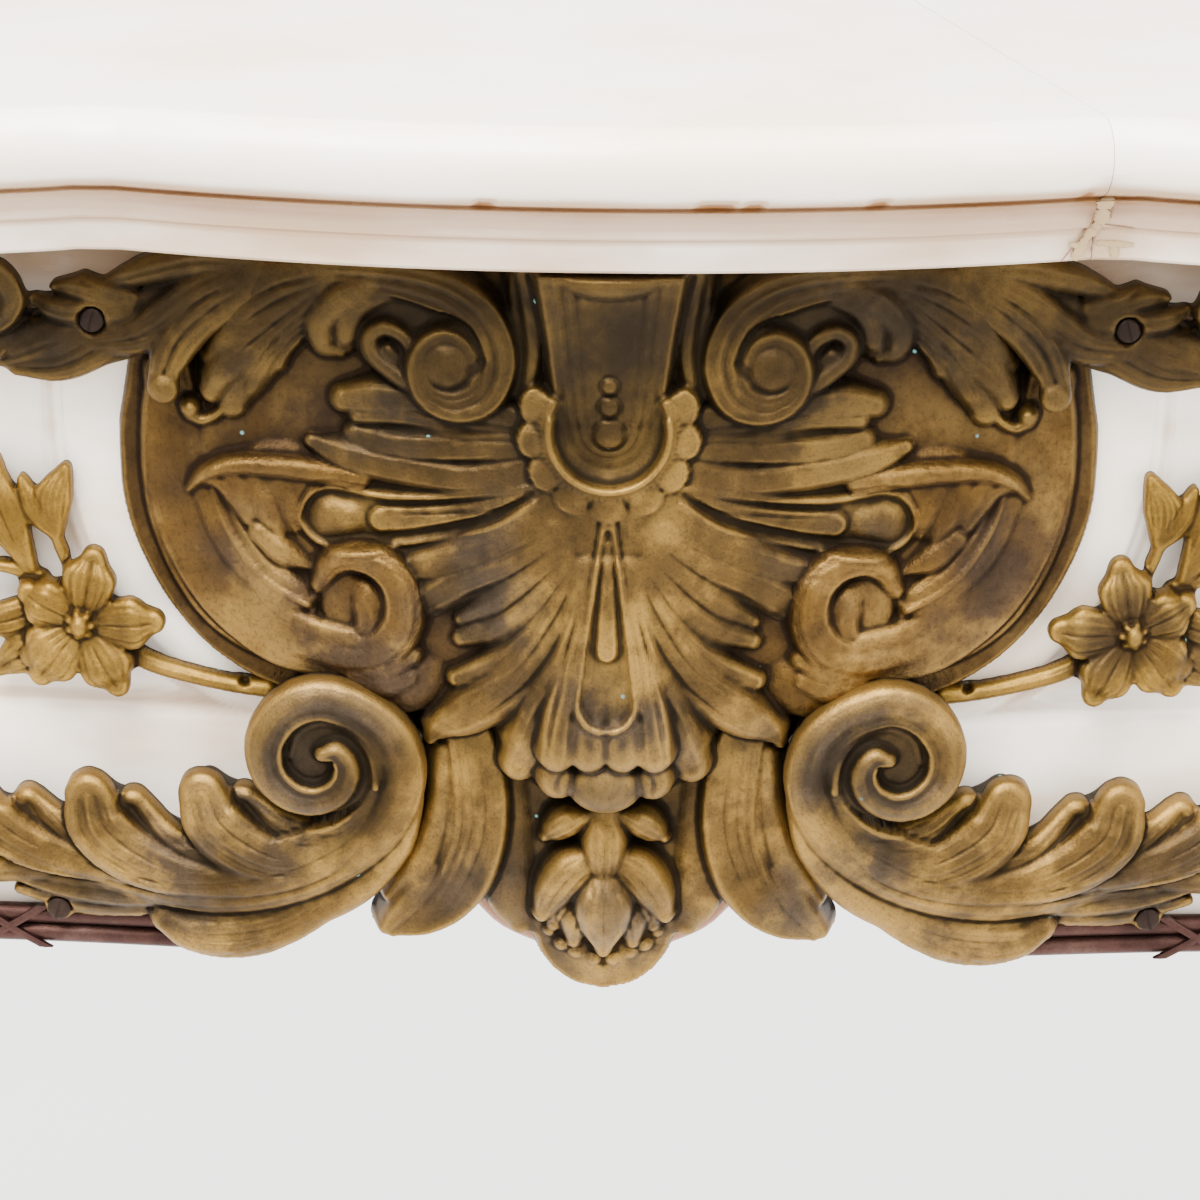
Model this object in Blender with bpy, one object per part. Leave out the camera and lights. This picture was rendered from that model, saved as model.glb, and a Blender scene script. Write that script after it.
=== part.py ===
"""Centre section of a fireplace mantel: a moulded stone shelf over a bowed frieze with cast bronze mounts.

Metres, +Z up. The wall is the plane y = 0 and the mantel comes forward along -Y. The origin is the
middle of the shelf's back face. The mounts are drawn on the frieze's face in small whole steps:
x to the right, z up from the middle of the shell, and a height out from the stone.
"""

import math

import bmesh
import bpy
from mathutils import Matrix, Vector

# Shelf
SECTION_LENGTH = 1.000
SLAB_THICK = 0.030
UNDER_MOULD_HEIGHT = 0.026
FASCIA_HEIGHT = 0.013
FASCIA_INSET = 0.020
COVE_INSET = 0.011
SHELF_BACK_TO_FRIEZE = 0.235
SHELF_OVERHANG = 0.105
SHELF_BOW = 0.031
CUSP_X = 0.183
CUSP_FLAT = 0.016
END_BOW = 0.024
JOINT_SLANT = 0.049

# Frieze
FRIEZE_THICK = 0.045
FRIEZE_BOW = 0.020
BOW_REACH = 0.300
FRIEZE_HEIGHT = 0.305
COVE_RADIUS = 0.012
EDGE_RADIUS = 0.008
COVE_FILLET = 0.003
PANEL_DEPTH = 0.004
PANEL_BOTTOM = -0.052
PANEL_TOP = 0.112
PANEL_INNER_X = 0.217
PANEL_MARGIN = 0.030
BOW_STEP = 0.020

# Gaps between pieces that touch, and how far a cutter stands clear of what it cuts
GAP = 0.0003
FLOAT_GAP = 0.0006
CUTTER_REACH = 0.030

# Bronzes. STEP is the unit that they are drawn in.
STEP = 0.001
CARTOUCHE_KEEP = 0.23
ORNAMENT_KEEP = 0.28
SHELL_TO_SHELF = 0.148
PLATE_THICK = 0.007
RAIL_RISE = 0.016
RAIL_DROP = 0.001
RAIL_START_X = 0.132
RAIL_RADIUS = 0.0042
TIE_START_X = 0.244
TIE_SPACING = 0.096
SCREW_RADIUS = 0.0048
SCREW_SLOT = 0.0012
SCREW_HEAD = 0.0030
SCREW_SIDES = 14

# How a stroke is drawn: its foot is narrower than its face, and its tip closes in one short step
FOOT_SHARE = 0.92
TIP_REACH = 0.6
TIP_WIDTH = 0.5
TIP_HEIGHT = 0.85
LOOK_AHEAD = 0.02
FOOT_STAGGER = 0.021
FOOT_STAGGERS = 23

HALF_LENGTH = SECTION_LENGTH / 2
SHELF_HEIGHT = SLAB_THICK + UNDER_MOULD_HEIGHT
UNDERSIDE_Z = -SHELF_HEIGHT / 2
SHELL_Z = UNDERSIDE_Z - SHELL_TO_SHELF
FRIEZE_FOOT = SHELL_TO_SHELF - FRIEZE_HEIGHT


def clear_scene():
    for obj in list(bpy.data.objects):
        bpy.data.objects.remove(obj, do_unlink=True)


def make_collection(name):
    collection = bpy.data.collections.new(name)
    bpy.context.scene.collection.children.link(collection)
    return collection


def material(name, colour, roughness, metallic):
    made = bpy.data.materials.new(name)
    made.use_nodes = True
    shader = made.node_tree.nodes["Principled BSDF"]
    shader.inputs["Base Color"].default_value = (*colour, 1.0)
    shader.inputs["Roughness"].default_value = roughness
    shader.inputs["Metallic"].default_value = metallic
    return made


def add_object(name, bm, collection, finish=None):
    bmesh.ops.recalc_face_normals(bm, faces=bm.faces)
    if bm.calc_volume(signed=True) < 0:
        bmesh.ops.reverse_faces(bm, faces=bm.faces)
    mesh = bpy.data.meshes.new(name)
    bm.to_mesh(mesh)
    bm.free()
    obj = bpy.data.objects.new(name, mesh)
    collection.objects.link(obj)
    if finish:
        mesh.materials.append(finish)
    return obj


def add_cutter(name, bm):
    bmesh.ops.triangulate(bm, faces=bm.faces)
    obj = add_object(name, bm, CUTTERS)
    obj.hide_render = True
    obj.display_type = "WIRE"
    return obj


def evaluated_mesh(obj):
    bpy.context.view_layer.update()
    graph = bpy.context.evaluated_depsgraph_get()
    return bpy.data.meshes.new_from_object(obj.evaluated_get(graph))


def boolean(obj, other, operation, solver="EXACT"):
    """Applies one Boolean of a mesh object, or of all those in a collection, to obj."""
    modifier = obj.modifiers.new(operation.title(), "BOOLEAN")
    modifier.operation = operation
    modifier.solver = solver
    if isinstance(other, bpy.types.Collection):
        modifier.operand_type = "COLLECTION"
        modifier.collection = other
    else:
        modifier.object = other
    mesh = evaluated_mesh(obj)
    obj.modifiers.clear()
    obj.data = mesh


def joined(name, pieces):
    """The pieces as one closed body, named and ready to take a finish."""
    first, *others = pieces
    if others:
        group = bpy.data.collections.new(name + "_pieces")
        bpy.context.scene.collection.children.link(group)
        for piece in others:
            CUTTERS.objects.unlink(piece)
            group.objects.link(piece)
        boolean(first, group, "UNION", "MANIFOLD")
        for piece in others:
            bpy.data.objects.remove(piece, do_unlink=True)
        bpy.data.collections.remove(group)
    fill_pockets(first)
    first.name = name
    return first


def shells(bm):
    """The faces of each connected surface in a mesh."""
    left = set(bm.faces)
    found = []
    while left:
        reached = [left.pop()]
        for face in reached:
            for edge in face.edges:
                for other in edge.link_faces:
                    if other in left:
                        left.remove(other)
                        reached.append(other)
        found.append(reached)
    return found


def shell_volume(faces):
    """Signed volume that a closed surface of triangles holds."""
    return sum(f.verts[0].co.dot(f.verts[1].co.cross(f.verts[2].co)) for f in faces) / 6


def fill_pockets(obj):
    """Keeps a casting's outer surface and fills the sealed pockets that its strokes enclose."""
    bm = bmesh.new()
    bm.from_mesh(obj.data)
    bmesh.ops.triangulate(bm, faces=bm.faces)
    inner = sorted(shells(bm), key=shell_volume)[:-1]
    bmesh.ops.delete(bm, geom=[face for faces in inner for face in faces], context="FACES")
    bm.to_mesh(obj.data)
    bm.free()


def thinned(obj, share):
    """Leaves out the given share's remainder of a body's triangles, where they shape it least."""
    modifier = obj.modifiers.new("Thin", "DECIMATE")
    modifier.ratio = share
    mesh = evaluated_mesh(obj)
    obj.modifiers.clear()
    obj.data = mesh
    return obj


def mirrored(obj, name):
    """A copy of a cutter-collection object on the other side of the centre line."""
    bm = bmesh.new()
    bm.from_mesh(obj.data)
    for vertex in bm.verts:
        vertex.co.x = -vertex.co.x
    bmesh.ops.reverse_faces(bm, faces=bm.faces)
    return add_cutter(name, bm)


def finished(obj, name, finish, smooth_angle=math.radians(38)):
    """Moves a joined body into the part's own collection with its material and smooth shading."""
    CUTTERS.objects.unlink(obj)
    PARTS.objects.link(obj)
    obj.name = name
    obj.data.name = name
    obj.hide_render = False
    obj.display_type = "TEXTURED"
    obj.data.materials.clear()
    obj.data.materials.append(finish)
    obj.data.shade_smooth()
    obj.data.set_sharp_from_angle(angle=smooth_angle)
    return obj


def spline(points, share):
    """A point at a share from 0 to 1 along a Catmull-Rom curve through the points."""
    spans = len(points) - 1
    place = min(max(share, 0.0), 1.0) * spans
    i = min(int(place), spans - 1)
    t = place - i
    p1 = points[i]
    p2 = points[i + 1]
    p0 = points[i - 1] if i else [2 * a - b for a, b in zip(p1, p2)]
    p3 = points[i + 2] if i + 2 <= spans else [2 * b - a for a, b in zip(p1, p2)]
    return [
        0.5 * (2 * b + (c - a) * t + (2 * a - 5 * b + 4 * c - d) * t**2 + (3 * b - a - 3 * c + d) * t**3)
        for a, b, c, d in zip(p0, p1, p2, p3)
    ]


def height_at(outline, x):
    """The second coordinate of a smooth outline where its first coordinate is x."""
    x = min(max(x, outline[0][0]), outline[-1][0])
    low, high = 0.0, 1.0
    for _ in range(30):
        middle = (low + high) / 2
        if spline(outline, middle)[0] < x:
            low = middle
        else:
            high = middle
    return spline(outline, low)[1]


def frieze_bow(x):
    """How far the frieze's face stands forward at x, over its flat ends."""
    reach = min(abs(x), BOW_REACH) / BOW_REACH
    return FRIEZE_BOW * (math.cos(math.pi * reach) + 1) / 2


def shelf_front(x):
    """How far the shelf's nose stands forward of the frieze's flat ends at x."""
    side = abs(x)
    cusp = SHELF_OVERHANG - SHELF_BOW
    if side < CUSP_X:
        return SHELF_OVERHANG - SHELF_BOW * (side / CUSP_X) ** 2
    past = max(0.0, side - CUSP_X - CUSP_FLAT)
    run = HALF_LENGTH - CUSP_X - CUSP_FLAT
    return cusp + END_BOW * math.sin(math.pi * min(1.0, past / run)) ** 0.8


def frieze_point(x, z, height):
    """World place of a point drawn on the frieze, in metres from the shell's middle."""
    return Vector((x, -(SHELF_BACK_TO_FRIEZE + frieze_bow(x) + height), SHELL_Z + z))


def bend(bm):
    """Carries a body drawn flat, as (x, height, z) in metres, onto the bowed face."""
    for vertex in bm.verts:
        x, height, z = vertex.co
        vertex.co = frieze_point(x, z, height)


def slice_for_bend(bm):
    """Cuts a flat body across every BOW_STEP so that it can follow the bow."""
    low = max(-BOW_REACH, min(vertex.co.x for vertex in bm.verts))
    high = min(BOW_REACH, max(vertex.co.x for vertex in bm.verts))
    first = math.ceil(low / BOW_STEP + 0.05)
    last = math.floor(high / BOW_STEP - 0.05)
    for i in range(first, last + 1):
        bmesh.ops.bisect_plane(
            bm,
            geom=bm.verts[:] + bm.edges[:] + bm.faces[:],
            plane_co=(i * BOW_STEP, 0, 0),
            plane_no=(1, 0, 0),
            dist=1e-7,
        )


def loft(rings):
    """One closed body through rings of equal length, with flat ends."""
    bm = bmesh.new()
    rows = [[bm.verts.new(point) for point in ring] for ring in rings]
    for a, b in zip(rows, rows[1:]):
        for i in range(len(a)):
            j = (i + 1) % len(a)
            bm.faces.new((a[i], a[j], b[j], b[i]))
    bm.faces.new(rows[0])
    bm.faces.new(rows[-1][::-1])
    return bm


def shelf_profile():
    """(inset from the nose, height over the underside) up the shelf's front, from its lower edge."""
    points = [(FASCIA_INSET, 0.0), (FASCIA_INSET, FASCIA_HEIGHT)]
    cove_height = UNDER_MOULD_HEIGHT - FASCIA_HEIGHT
    for i in (1, 2):
        turn = math.pi / 2 * i / 2
        inset = FASCIA_INSET - (FASCIA_INSET - COVE_INSET) * (1 - math.cos(turn))
        points.append((inset, FASCIA_HEIGHT + cove_height * math.sin(turn) * 0.94))
    nose = SLAB_THICK / 2
    for i in range(7):
        turn = math.radians(-80 + 170 * i / 6)
        points.append((nose * (1 - math.cos(turn)), UNDER_MOULD_HEIGHT + nose * (1 + math.sin(turn))))
    return points


def shelf_ring(front_x, back_x):
    """The shelf's section between a place on its nose and a place on its back edge."""
    front = SHELF_BACK_TO_FRIEZE + shelf_front(front_x)
    ring = []
    for inset, height in shelf_profile():
        share = inset / front
        x = front_x + (back_x - front_x) * share
        ring.append((x, inset - front, UNDERSIDE_Z + height))
    ring.append((back_x, 0.0, UNDERSIDE_Z + SHELF_HEIGHT))
    ring.append((back_x, 0.0, UNDERSIDE_Z))
    return ring


def shelf_stations(start, end, steps):
    return [start + (end - start) * i / steps for i in range(steps + 1)]


def make_shelf(onyx):
    """The shelf in two stones, which meet at the right-hand cusp along a slanting joint."""
    cusp_end = CUSP_X + CUSP_FLAT
    left_x = shelf_stations(-HALF_LENGTH, -cusp_end, 8) + shelf_stations(-CUSP_X, CUSP_X, 14)
    right_x = [CUSP_X + GAP] + shelf_stations(cusp_end, HALF_LENGTH, 8)
    joint_back = CUSP_X - JOINT_SLANT

    def main_back(x):
        return -HALF_LENGTH + (x + HALF_LENGTH) * (joint_back + HALF_LENGTH) / (CUSP_X + HALF_LENGTH)

    def right_back(x):
        return HALF_LENGTH - (HALF_LENGTH - x) * (HALF_LENGTH - joint_back) / (HALF_LENGTH - CUSP_X)

    main = loft([shelf_ring(x, main_back(x)) for x in left_x])
    add_object("shelf_main", main, PARTS, onyx)
    right = loft([shelf_ring(x, right_back(x) + GAP) for x in right_x])
    for vertex in right.verts:
        vertex.co.x = min(vertex.co.x, HALF_LENGTH)
    add_object("shelf_right", right, PARTS, onyx)


# The frieze's lower edge from the middle outwards, as rises over its foot at the ends, in steps. It
# drops to a point behind the bronze bud.
FRIEZE_EDGE = [
    (0, -7), (26, 3), (43, 11), (55, 23), (70, 37), (88, 43), (108, 38), (132, 23), (160, 8), (190, 1),
    (230, 0),
]


def frieze_bottom(x):
    """Height of the frieze's lower edge at x, from the shell's middle."""
    return FRIEZE_FOOT + height_at(FRIEZE_EDGE, abs(x) / STEP) * STEP


def frieze_ring(x, grow):
    """The frieze's section at x: a cove at the top, a rounded lower edge, a flat back."""
    face = frieze_bow(x) + grow
    top = SHELL_TO_SHELF - GAP
    bottom = frieze_bottom(x) - grow
    cove_top = top - COVE_FILLET
    section = [(-FRIEZE_THICK, top), (face + COVE_RADIUS, top), (face + COVE_RADIUS, cove_top)]
    for turn in (45, 90):
        angle = math.radians(turn)
        out = face + COVE_RADIUS * (1 - math.sin(angle))
        section.append((out, cove_top - COVE_RADIUS * (1 - math.cos(angle))))
    for turn in (0, 45, 90):
        angle = math.radians(turn)
        out = face - EDGE_RADIUS * (1 - math.cos(angle))
        section.append((out, bottom + EDGE_RADIUS * (1 - math.sin(angle))))
    section.append((-FRIEZE_THICK, bottom))
    return [(x, -(SHELF_BACK_TO_FRIEZE + out), SHELL_Z + z) for out, z in section]


def frieze_body(grow):
    half_steps = round(BOW_REACH / BOW_STEP)
    stations = [i * BOW_STEP for i in range(-half_steps, half_steps + 1)]
    stations = [-HALF_LENGTH, *stations, HALF_LENGTH]
    return loft([frieze_ring(x, grow) for x in stations])


# The hollow inner end of a side panel, in steps: how far it runs in under the cartouche, at heights
PANEL_END = ((0, 60), (4, 30), (15, 0), (36, -26))
PANEL_CORNER_IN = 62


def panel_outline(side):
    """A sunk side panel: its inner end is hollowed to run round the cartouche."""
    outer = HALF_LENGTH - PANEL_MARGIN
    points = [(PANEL_INNER_X, PANEL_TOP)]
    points += [(PANEL_INNER_X - inwards * STEP, z * STEP) for inwards, z in PANEL_END]
    points.append((PANEL_INNER_X - PANEL_CORNER_IN * STEP, PANEL_BOTTOM))
    points += [(outer, PANEL_BOTTOM), (outer, PANEL_TOP)]
    return [(side * x, z) for x, z in points]


def flat_prism(outline, low, high):
    """An outline in metres, extruded between two heights and carried onto the bowed face."""
    curve = bpy.data.curves.new("outline", "CURVE")
    curve.dimensions = "2D"
    curve.fill_mode = "BOTH"
    curve.extrude = (high - low) / 2
    line = curve.splines.new("POLY")
    line.points.add(len(outline) - 1)
    for point, (x, z) in zip(line.points, outline):
        point.co = (x, z, 0, 1)
    line.use_cyclic_u = True
    holder = bpy.data.objects.new("outline", curve)
    CUTTERS.objects.link(holder)
    mesh = evaluated_mesh(holder)
    bpy.data.objects.remove(holder, do_unlink=True)
    bm = bmesh.new()
    bm.from_mesh(mesh)
    bmesh.ops.remove_doubles(bm, verts=bm.verts, dist=1e-6)
    for vertex in bm.verts:
        x, z, height = vertex.co
        vertex.co = (x, height + (high + low) / 2, z)
    slice_for_bend(bm)
    bend(bm)
    return bm


def make_frieze(onyx):
    frieze = add_cutter("frieze", frieze_body(0.0))
    for side in (-1, 1):
        panel = add_cutter("panel_cut", flat_prism(panel_outline(side), -PANEL_DEPTH, CUTTER_REACH))
        boolean(frieze, panel, "DIFFERENCE")
    return finished(frieze, "frieze", onyx)


def make_seat():
    """What the bronzes are cut back to: the frieze and the shelf's underside, a gap larger."""
    seat = add_cutter("seat", frieze_body(GAP))
    for side in (-1, 1):
        panel = add_cutter("panel_seat", flat_prism(panel_outline(side), GAP - PANEL_DEPTH, CUTTER_REACH))
        boolean(seat, panel, "DIFFERENCE")
    shelf = bmesh.new()
    bmesh.ops.create_cube(shelf, size=1.0)
    for vertex in shelf.verts:
        vertex.co.x *= SECTION_LENGTH
        vertex.co.y = vertex.co.y * 2 * SECTION_LENGTH
        vertex.co.z = UNDERSIDE_Z - GAP + (vertex.co.z + 0.5) * SHELF_HEIGHT
    add_cutter("underside", shelf)
    return seat, bpy.data.objects["underside"]


# Cross-sections of a stroke: places across it from edge to edge, and shares of its height.
TONGUE = ((-1, 0.70), (0, 1.0), (1, 0.70))
ROUND = ((-1, 0.60), (-0.6, 0.92), (0, 1.0), (0.6, 0.92), (1, 0.60))
HOLLOW = ((-1, 0.95), (-0.45, 0.70), (0.45, 0.70), (1, 1.0))
RIM = ((-1, 0.80), (0, 1.0), (1, 0.80))
FLUTED = ((-1, 0.75), (-0.5, 0.95), (0, 0.85), (0.5, 1.0), (1, 0.75))
SCROLL = ((-1, 0.86), (-0.55, 1.0), (-0.1, 0.74), (0.55, 0.70), (1, 0.84))


def stroke(points, widths, heights, section=TONGUE, root=2.0, steps=None, closed_tip=True):
    """One modelled tongue, leaf lobe or scroll band, as a closed body on the frieze's face.

    points are (x, z) along its middle, widths its half widths and heights its crest there.
    """
    steps = steps or 2 * (len(points) - 1)
    # Each foot is sunk by its own small amount, so that the feet of two strokes never lie in one plane.
    root -= FOOT_STAGGER * ((abs(points[0][0]) * 3 + abs(points[0][1]) * 5) % FOOT_STAGGERS)
    rings = []
    for i in range(steps + 1):
        share = i / steps
        x, z = spline(points, share)
        ahead = spline(points, min(1.0, share + LOOK_AHEAD))
        behind = spline(points, max(0.0, share - LOOK_AHEAD))
        along = Vector((ahead[0] - behind[0], ahead[1] - behind[1])).normalized()
        width = max(0.4, spline([(w,) for w in widths], share)[0])
        height = spline([(h,) for h in heights], share)[0]
        rings.append(stroke_ring(x, z, along, width, height, section, root))
    if closed_tip:
        x += along.x * TIP_REACH * width
        z += along.y * TIP_REACH * width
        rings.append(stroke_ring(x, z, along, TIP_WIDTH * width, TIP_HEIGHT * height, section, root))
    bm = loft(rings)
    bend(bm)
    return add_cutter("stroke", bm)


def stroke_ring(x, z, along, width, height, section, root):
    """A stroke's section at one place: its face from edge to edge, then its foot."""
    across = Vector((-along.y, along.x))
    low = min(root, height / 2)
    corners = [(side, low + (height - low) * share) for side, share in section]
    corners += [(FOOT_SHARE, low), (-FOOT_SHARE, low)]
    return [
        ((x + across.x * width * side) * STEP, out * STEP, (z + across.y * width * side) * STEP)
        for side, out in corners
    ]


def dome(x, z, height, across, up, out, sides=9, rings=6):
    """A ball pressed into the ground: its middle is drawn at height, with three half sizes.

    Each ball is turned by its own angle, so that the edges of two balls never lie in one plane.
    """
    bm = bmesh.new()
    bmesh.ops.create_uvsphere(bm, u_segments=sides, v_segments=rings, radius=1.0)
    bmesh.ops.rotate(bm, verts=bm.verts, matrix=Matrix.Rotation(0.23 + 0.11 * z, 3, "Z"))
    for vertex in bm.verts:
        sx, sz, sy = vertex.co
        vertex.co = ((x + sx * across) * STEP, (height + sy * out) * STEP, (z + sz * up) * STEP)
    bend(bm)
    return add_cutter("dome", bm)


def plate(outline, thick):
    """A flat casting web with the drawn outline, sunk a little into what it lies on."""
    bm = flat_prism([(x * STEP, z * STEP) for x, z in outline], -2 * STEP, thick)
    return add_cutter("plate", bm)


def seated(obj, seats, others=()):
    """Cuts a body back to its seats and to the clearances of the bodies that it lies against."""
    for seat in (*seats, *others):
        boolean(obj, seat, "DIFFERENCE", "MANIFOLD")
    fill_pockets(obj)
    return obj


CARTOUCHE_OUTLINE = [
    (0, 152), (-178, 152), (-188, 90), (-193, 62), (-193, 45), (-190, 29), (-182, 4), (-164, -21),
    (-144, -35), (-118, -44), (-84, -50), (-62, -84), (-55, -100), (-49, -127), (-43, -138), (-34, -145),
    (-28, -143), (-22, -154), (-12, -163), (0, -167),
]


def cartouche_left():
    """The strokes of the cartouche's left half."""
    pieces = [
        stroke([(-178, 104), (-182, 74), (-183, 57), (-180, 32), (-172, 8), (-155, -13), (-135, -23),
                (-112, -26)],
               [3.5] * 8, [14, 15, 16, 16, 16, 16, 16, 16], RIM, steps=10),
        stroke([(-172, 62), (-167, 28), (-161, 14), (-151, 1), (-138, -9), (-118, -13)],
               [9, 13, 14, 14, 13, 11], [14, 15, 17, 19, 22, 25], HOLLOW, steps=7),
        stroke([(-122, -12), (-103, -18), (-87, -9), (-82, 5), (-89, 18), (-103, 22), (-113, 15)],
               [9, 7, 6, 5.5, 5, 4, 3], [23, 27, 31, 32, 32, 29, 25], ROUND, steps=9),
        dome(-100, 7, 22, 7.5, 8, 13),
        stroke([(-157, 52), (-150, 32), (-140, 17), (-125, 6), (-114, 2)],
               [2.2, 2.6, 2.8, 2.8, 2.2], [17, 20, 22, 24, 24], RIM, steps=6),
        stroke([(-84, 56), (-120, 61), (-144, 62), (-156, 58), (-164, 53), (-168, 46)],
               [5, 6, 5.5, 4, 2.6, 1.2], [30, 27, 25, 24, 22, 17], TONGUE, steps=7),
        stroke([(-146, 60), (-142, 49), (-139, 41)], [4.5, 4.5, 1.5], [23, 25, 22]),
        stroke([(-134, 52), (-133, 38), (-129, 27)], [4, 4.5, 1.2], [20, 23, 19]),
        stroke([(-111, 133), (-130, 114), (-142, 97), (-148, 82)],
               [13, 12, 10, 5.5], [26, 28, 27, 22], FLUTED, steps=6),
        stroke([(-108, 126), (-120, 113), (-127, 98)], [6, 5, 2.5], [24, 23, 19]),
        stroke([(-136, 136), (-100, 137), (-68, 136), (-46, 127), (-37, 108), (-42, 95), (-55, 88),
                (-70, 95)],
               [4.5, 6, 7.5, 8, 7.5, 6, 4.5, 4], [26, 32, 38, 44, 46, 44, 42, 38], SCROLL, steps=12),
        stroke([(-74, 98), (-72, 110), (-62, 115), (-54, 108)],
               [4, 4, 3.5, 3], [38, 40, 42, 44], RIM, steps=5),
        dome(-62, 105, 32, 8.5, 8.5, 13),
        stroke([(-88, 130), (-97, 122), (-103, 112)], [3.5, 3.5, 3], [32, 31, 28]),
        stroke([(-98, 130), (-112, 118), (-106, 107)], [4.5, 5, 2], [29, 28, 24]),
        stroke([(-52, 88), (-70, 92), (-86, 104), (-82, 114)], [6, 6.5, 5, 3], [36, 34, 32, 28]),
        stroke([(-40, 78), (-72, 86), (-94, 91), (-101, 88)], [5, 6.5, 6.5, 5], [38, 34, 31, 26]),
        stroke([(-38, 72), (-69, 71), (-90, 73), (-97, 75)], [5, 5.5, 5, 3.5], [38, 34, 31, 27]),
        stroke([(-40, 62), (-81, 62), (-104, 66), (-112, 70)], [5, 6.5, 6.5, 4], [38, 33, 29, 25]),
        stroke([(-28, 54), (-57, 46), (-88, 41), (-106, 41)],
               [4, 8, 10.5, 11], [38, 30, 24, 21], HOLLOW, steps=5),
        stroke([(-30, 57), (-57, 52), (-88, 51), (-108, 53), (-117, 47), (-119, 38), (-112, 30), (-89, 30),
                (-65, 33), (-46, 40), (-29, 51)],
               [1.8] * 11, [40, 34, 30, 29, 29, 29, 29, 29, 32, 36, 40], RIM, steps=14, closed_tip=False),
        stroke([(-32, 52), (-54, 45), (-73, 41), (-90, 40)], [2, 4, 5, 5], [38, 31, 27, 25]),
        stroke([(-30, 36), (-58, 26), (-78, 21)], [6, 6.5, 3.5], [38, 32, 27]),
        stroke([(-24, 30), (-46, 20), (-63, 13), (-70, 5)], [6, 9, 8, 5], [40, 37, 33, 28], FLUTED),
        stroke([(-22, 16), (-42, 5), (-53, -3)], [4, 5.5, 4], [40, 36, 31]),
        stroke([(-16, 8), (-34, -8), (-49, -16), (-57, -19)], [5, 6, 5, 3], [42, 39, 36, 32]),
        stroke([(-14, 9), (-30, -12), (-49, -29), (-65, -41), (-70, -47)],
               [5, 8, 8, 5, 1.6], [44, 42, 41, 38, 32], FLUTED, steps=7),
        stroke([(-16, -6), (-28, -27), (-42, -38)], [4.5, 5.5, 2], [42, 38, 32]),
        stroke([(-12, 10), (-20, -15), (-28, -38), (-33, -56)], [4, 6.5, 8, 6], [46, 46, 45, 40], FLUTED),
        stroke([(-100, -27), (-86, -26), (-79, -26)], [4, 4.5, 4], [20, 21, 20]),
        stroke([(-57, -42), (-55, -78), (-61, -104), (-74, -125), (-86, -135)],
               [8, 11, 11, 9, 4], [22, 24, 26, 27, 24], FLUTED, steps=7),
        stroke([(-66, -62), (-68, -84), (-76, -106), (-86, -121)], [4, 5, 5, 2], [18, 20, 22, 21]),
        stroke([(-12, -92), (-20, -88), (-26, -90)], [4, 5, 3], [22, 28, 25]),
        stroke([(-8, -102), (-18, -110), (-28, -121)], [5, 6, 3.5], [28, 31, 25]),
        stroke([(-5, -116), (-14, -124), (-20, -131)], [3, 4, 2.5], [22, 24, 20]),
        dome(-8, -139, 10, 4, 4, 7, 8, 5),
    ]
    for place in ((-33, 86), (-32, 69), (-20, 53)):
        pieces.append(dome(*place, 36, 8, 8.5, 10, 8, 5))
    return joined("cartouche_left", pieces)


def ring_arc():
    """The lip of the bowl under the stem: the lower half of a circle."""
    middle_z, half_width, depth, spans = 84, 23, 25.3, 8
    turns = [math.pi * i / spans for i in range(spans + 1)]
    return [(-half_width * math.cos(turn), middle_z - depth * math.sin(turn)) for turn in turns]


def cartouche_middle():
    """The strokes on the cartouche's centre line, and the web that carries it all."""
    outline = CARTOUCHE_OUTLINE + [(-x, z) for x, z in CARTOUCHE_OUTLINE[-2:0:-1]]
    arc = ring_arc()
    pieces = [
        plate(outline, PLATE_THICK),
        dome(0, 66, 8, 62, 46, 30, 16, 8),
        stroke([(0.2, 48), (0.2, 14), (0.1, -24), (0.2, -54)],
               [12, 14, 22, 26], [40, 42, 50, 56], ROUND, steps=5),
        stroke([(-1, 41), (-7, 10), (-10, -16), (-8, -28), (0, -35), (8, -28), (10, -16), (7, 10), (1, 41)],
               [1.6] * 9, [44, 47, 54, 56, 57, 56, 54, 47, 44], RIM, steps=14, closed_tip=False),
        stroke([(-0.3, 36), (-0.2, 16), (-0.3, -6)], [3, 4.5, 4.5], [46, 49, 53]),
        dome(0, -63, 46, 13, 9, 15),
        dome(-20, -61, 44, 9, 7, 12, 8, 5),
        dome(20, -61, 44, 9, 7, 12, 8, 5),
        stroke(arc, [3.0] * len(arc), [50] * len(arc), ROUND, steps=12),
        dome(0, 49, 34, 11, 8, 12, 8, 5),
        stroke([(-0.1, 156), (-0.4, 128), (-0.2, 104), (-0.1, 78)],
               [28, 22, 19, 9], [68, 56, 50, 44], FLUTED, steps=6),
        dome(0, 100, 45, 4, 4, 8, 8, 5),
        dome(0, 91, 43, 5, 5, 8, 8, 5),
        dome(0, 81, 40, 6.5, 6.5, 9, 8, 5),
        stroke([(0.3, -82), (0.3, -92), (0.4, -104)], [5, 7, 5], [24, 33, 30]),
        stroke([(-0.2, -102), (-0.3, -118), (-0.2, -136)], [5, 9, 4], [30, 36, 27]),
        dome(0, -143, 10, 4.5, 4.5, 8, 8, 5),
    ]
    return joined("cartouche_middle", pieces)


def make_cartouche(bronze, seats, clearances):
    left = cartouche_left()
    right = mirrored(left, "cartouche_right")
    whole = thinned(joined("cartouche", [cartouche_middle(), left, right]), CARTOUCHE_KEEP)
    seated(whole, seats, clearances)
    return finished(whole, "cartouche", bronze)


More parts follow.
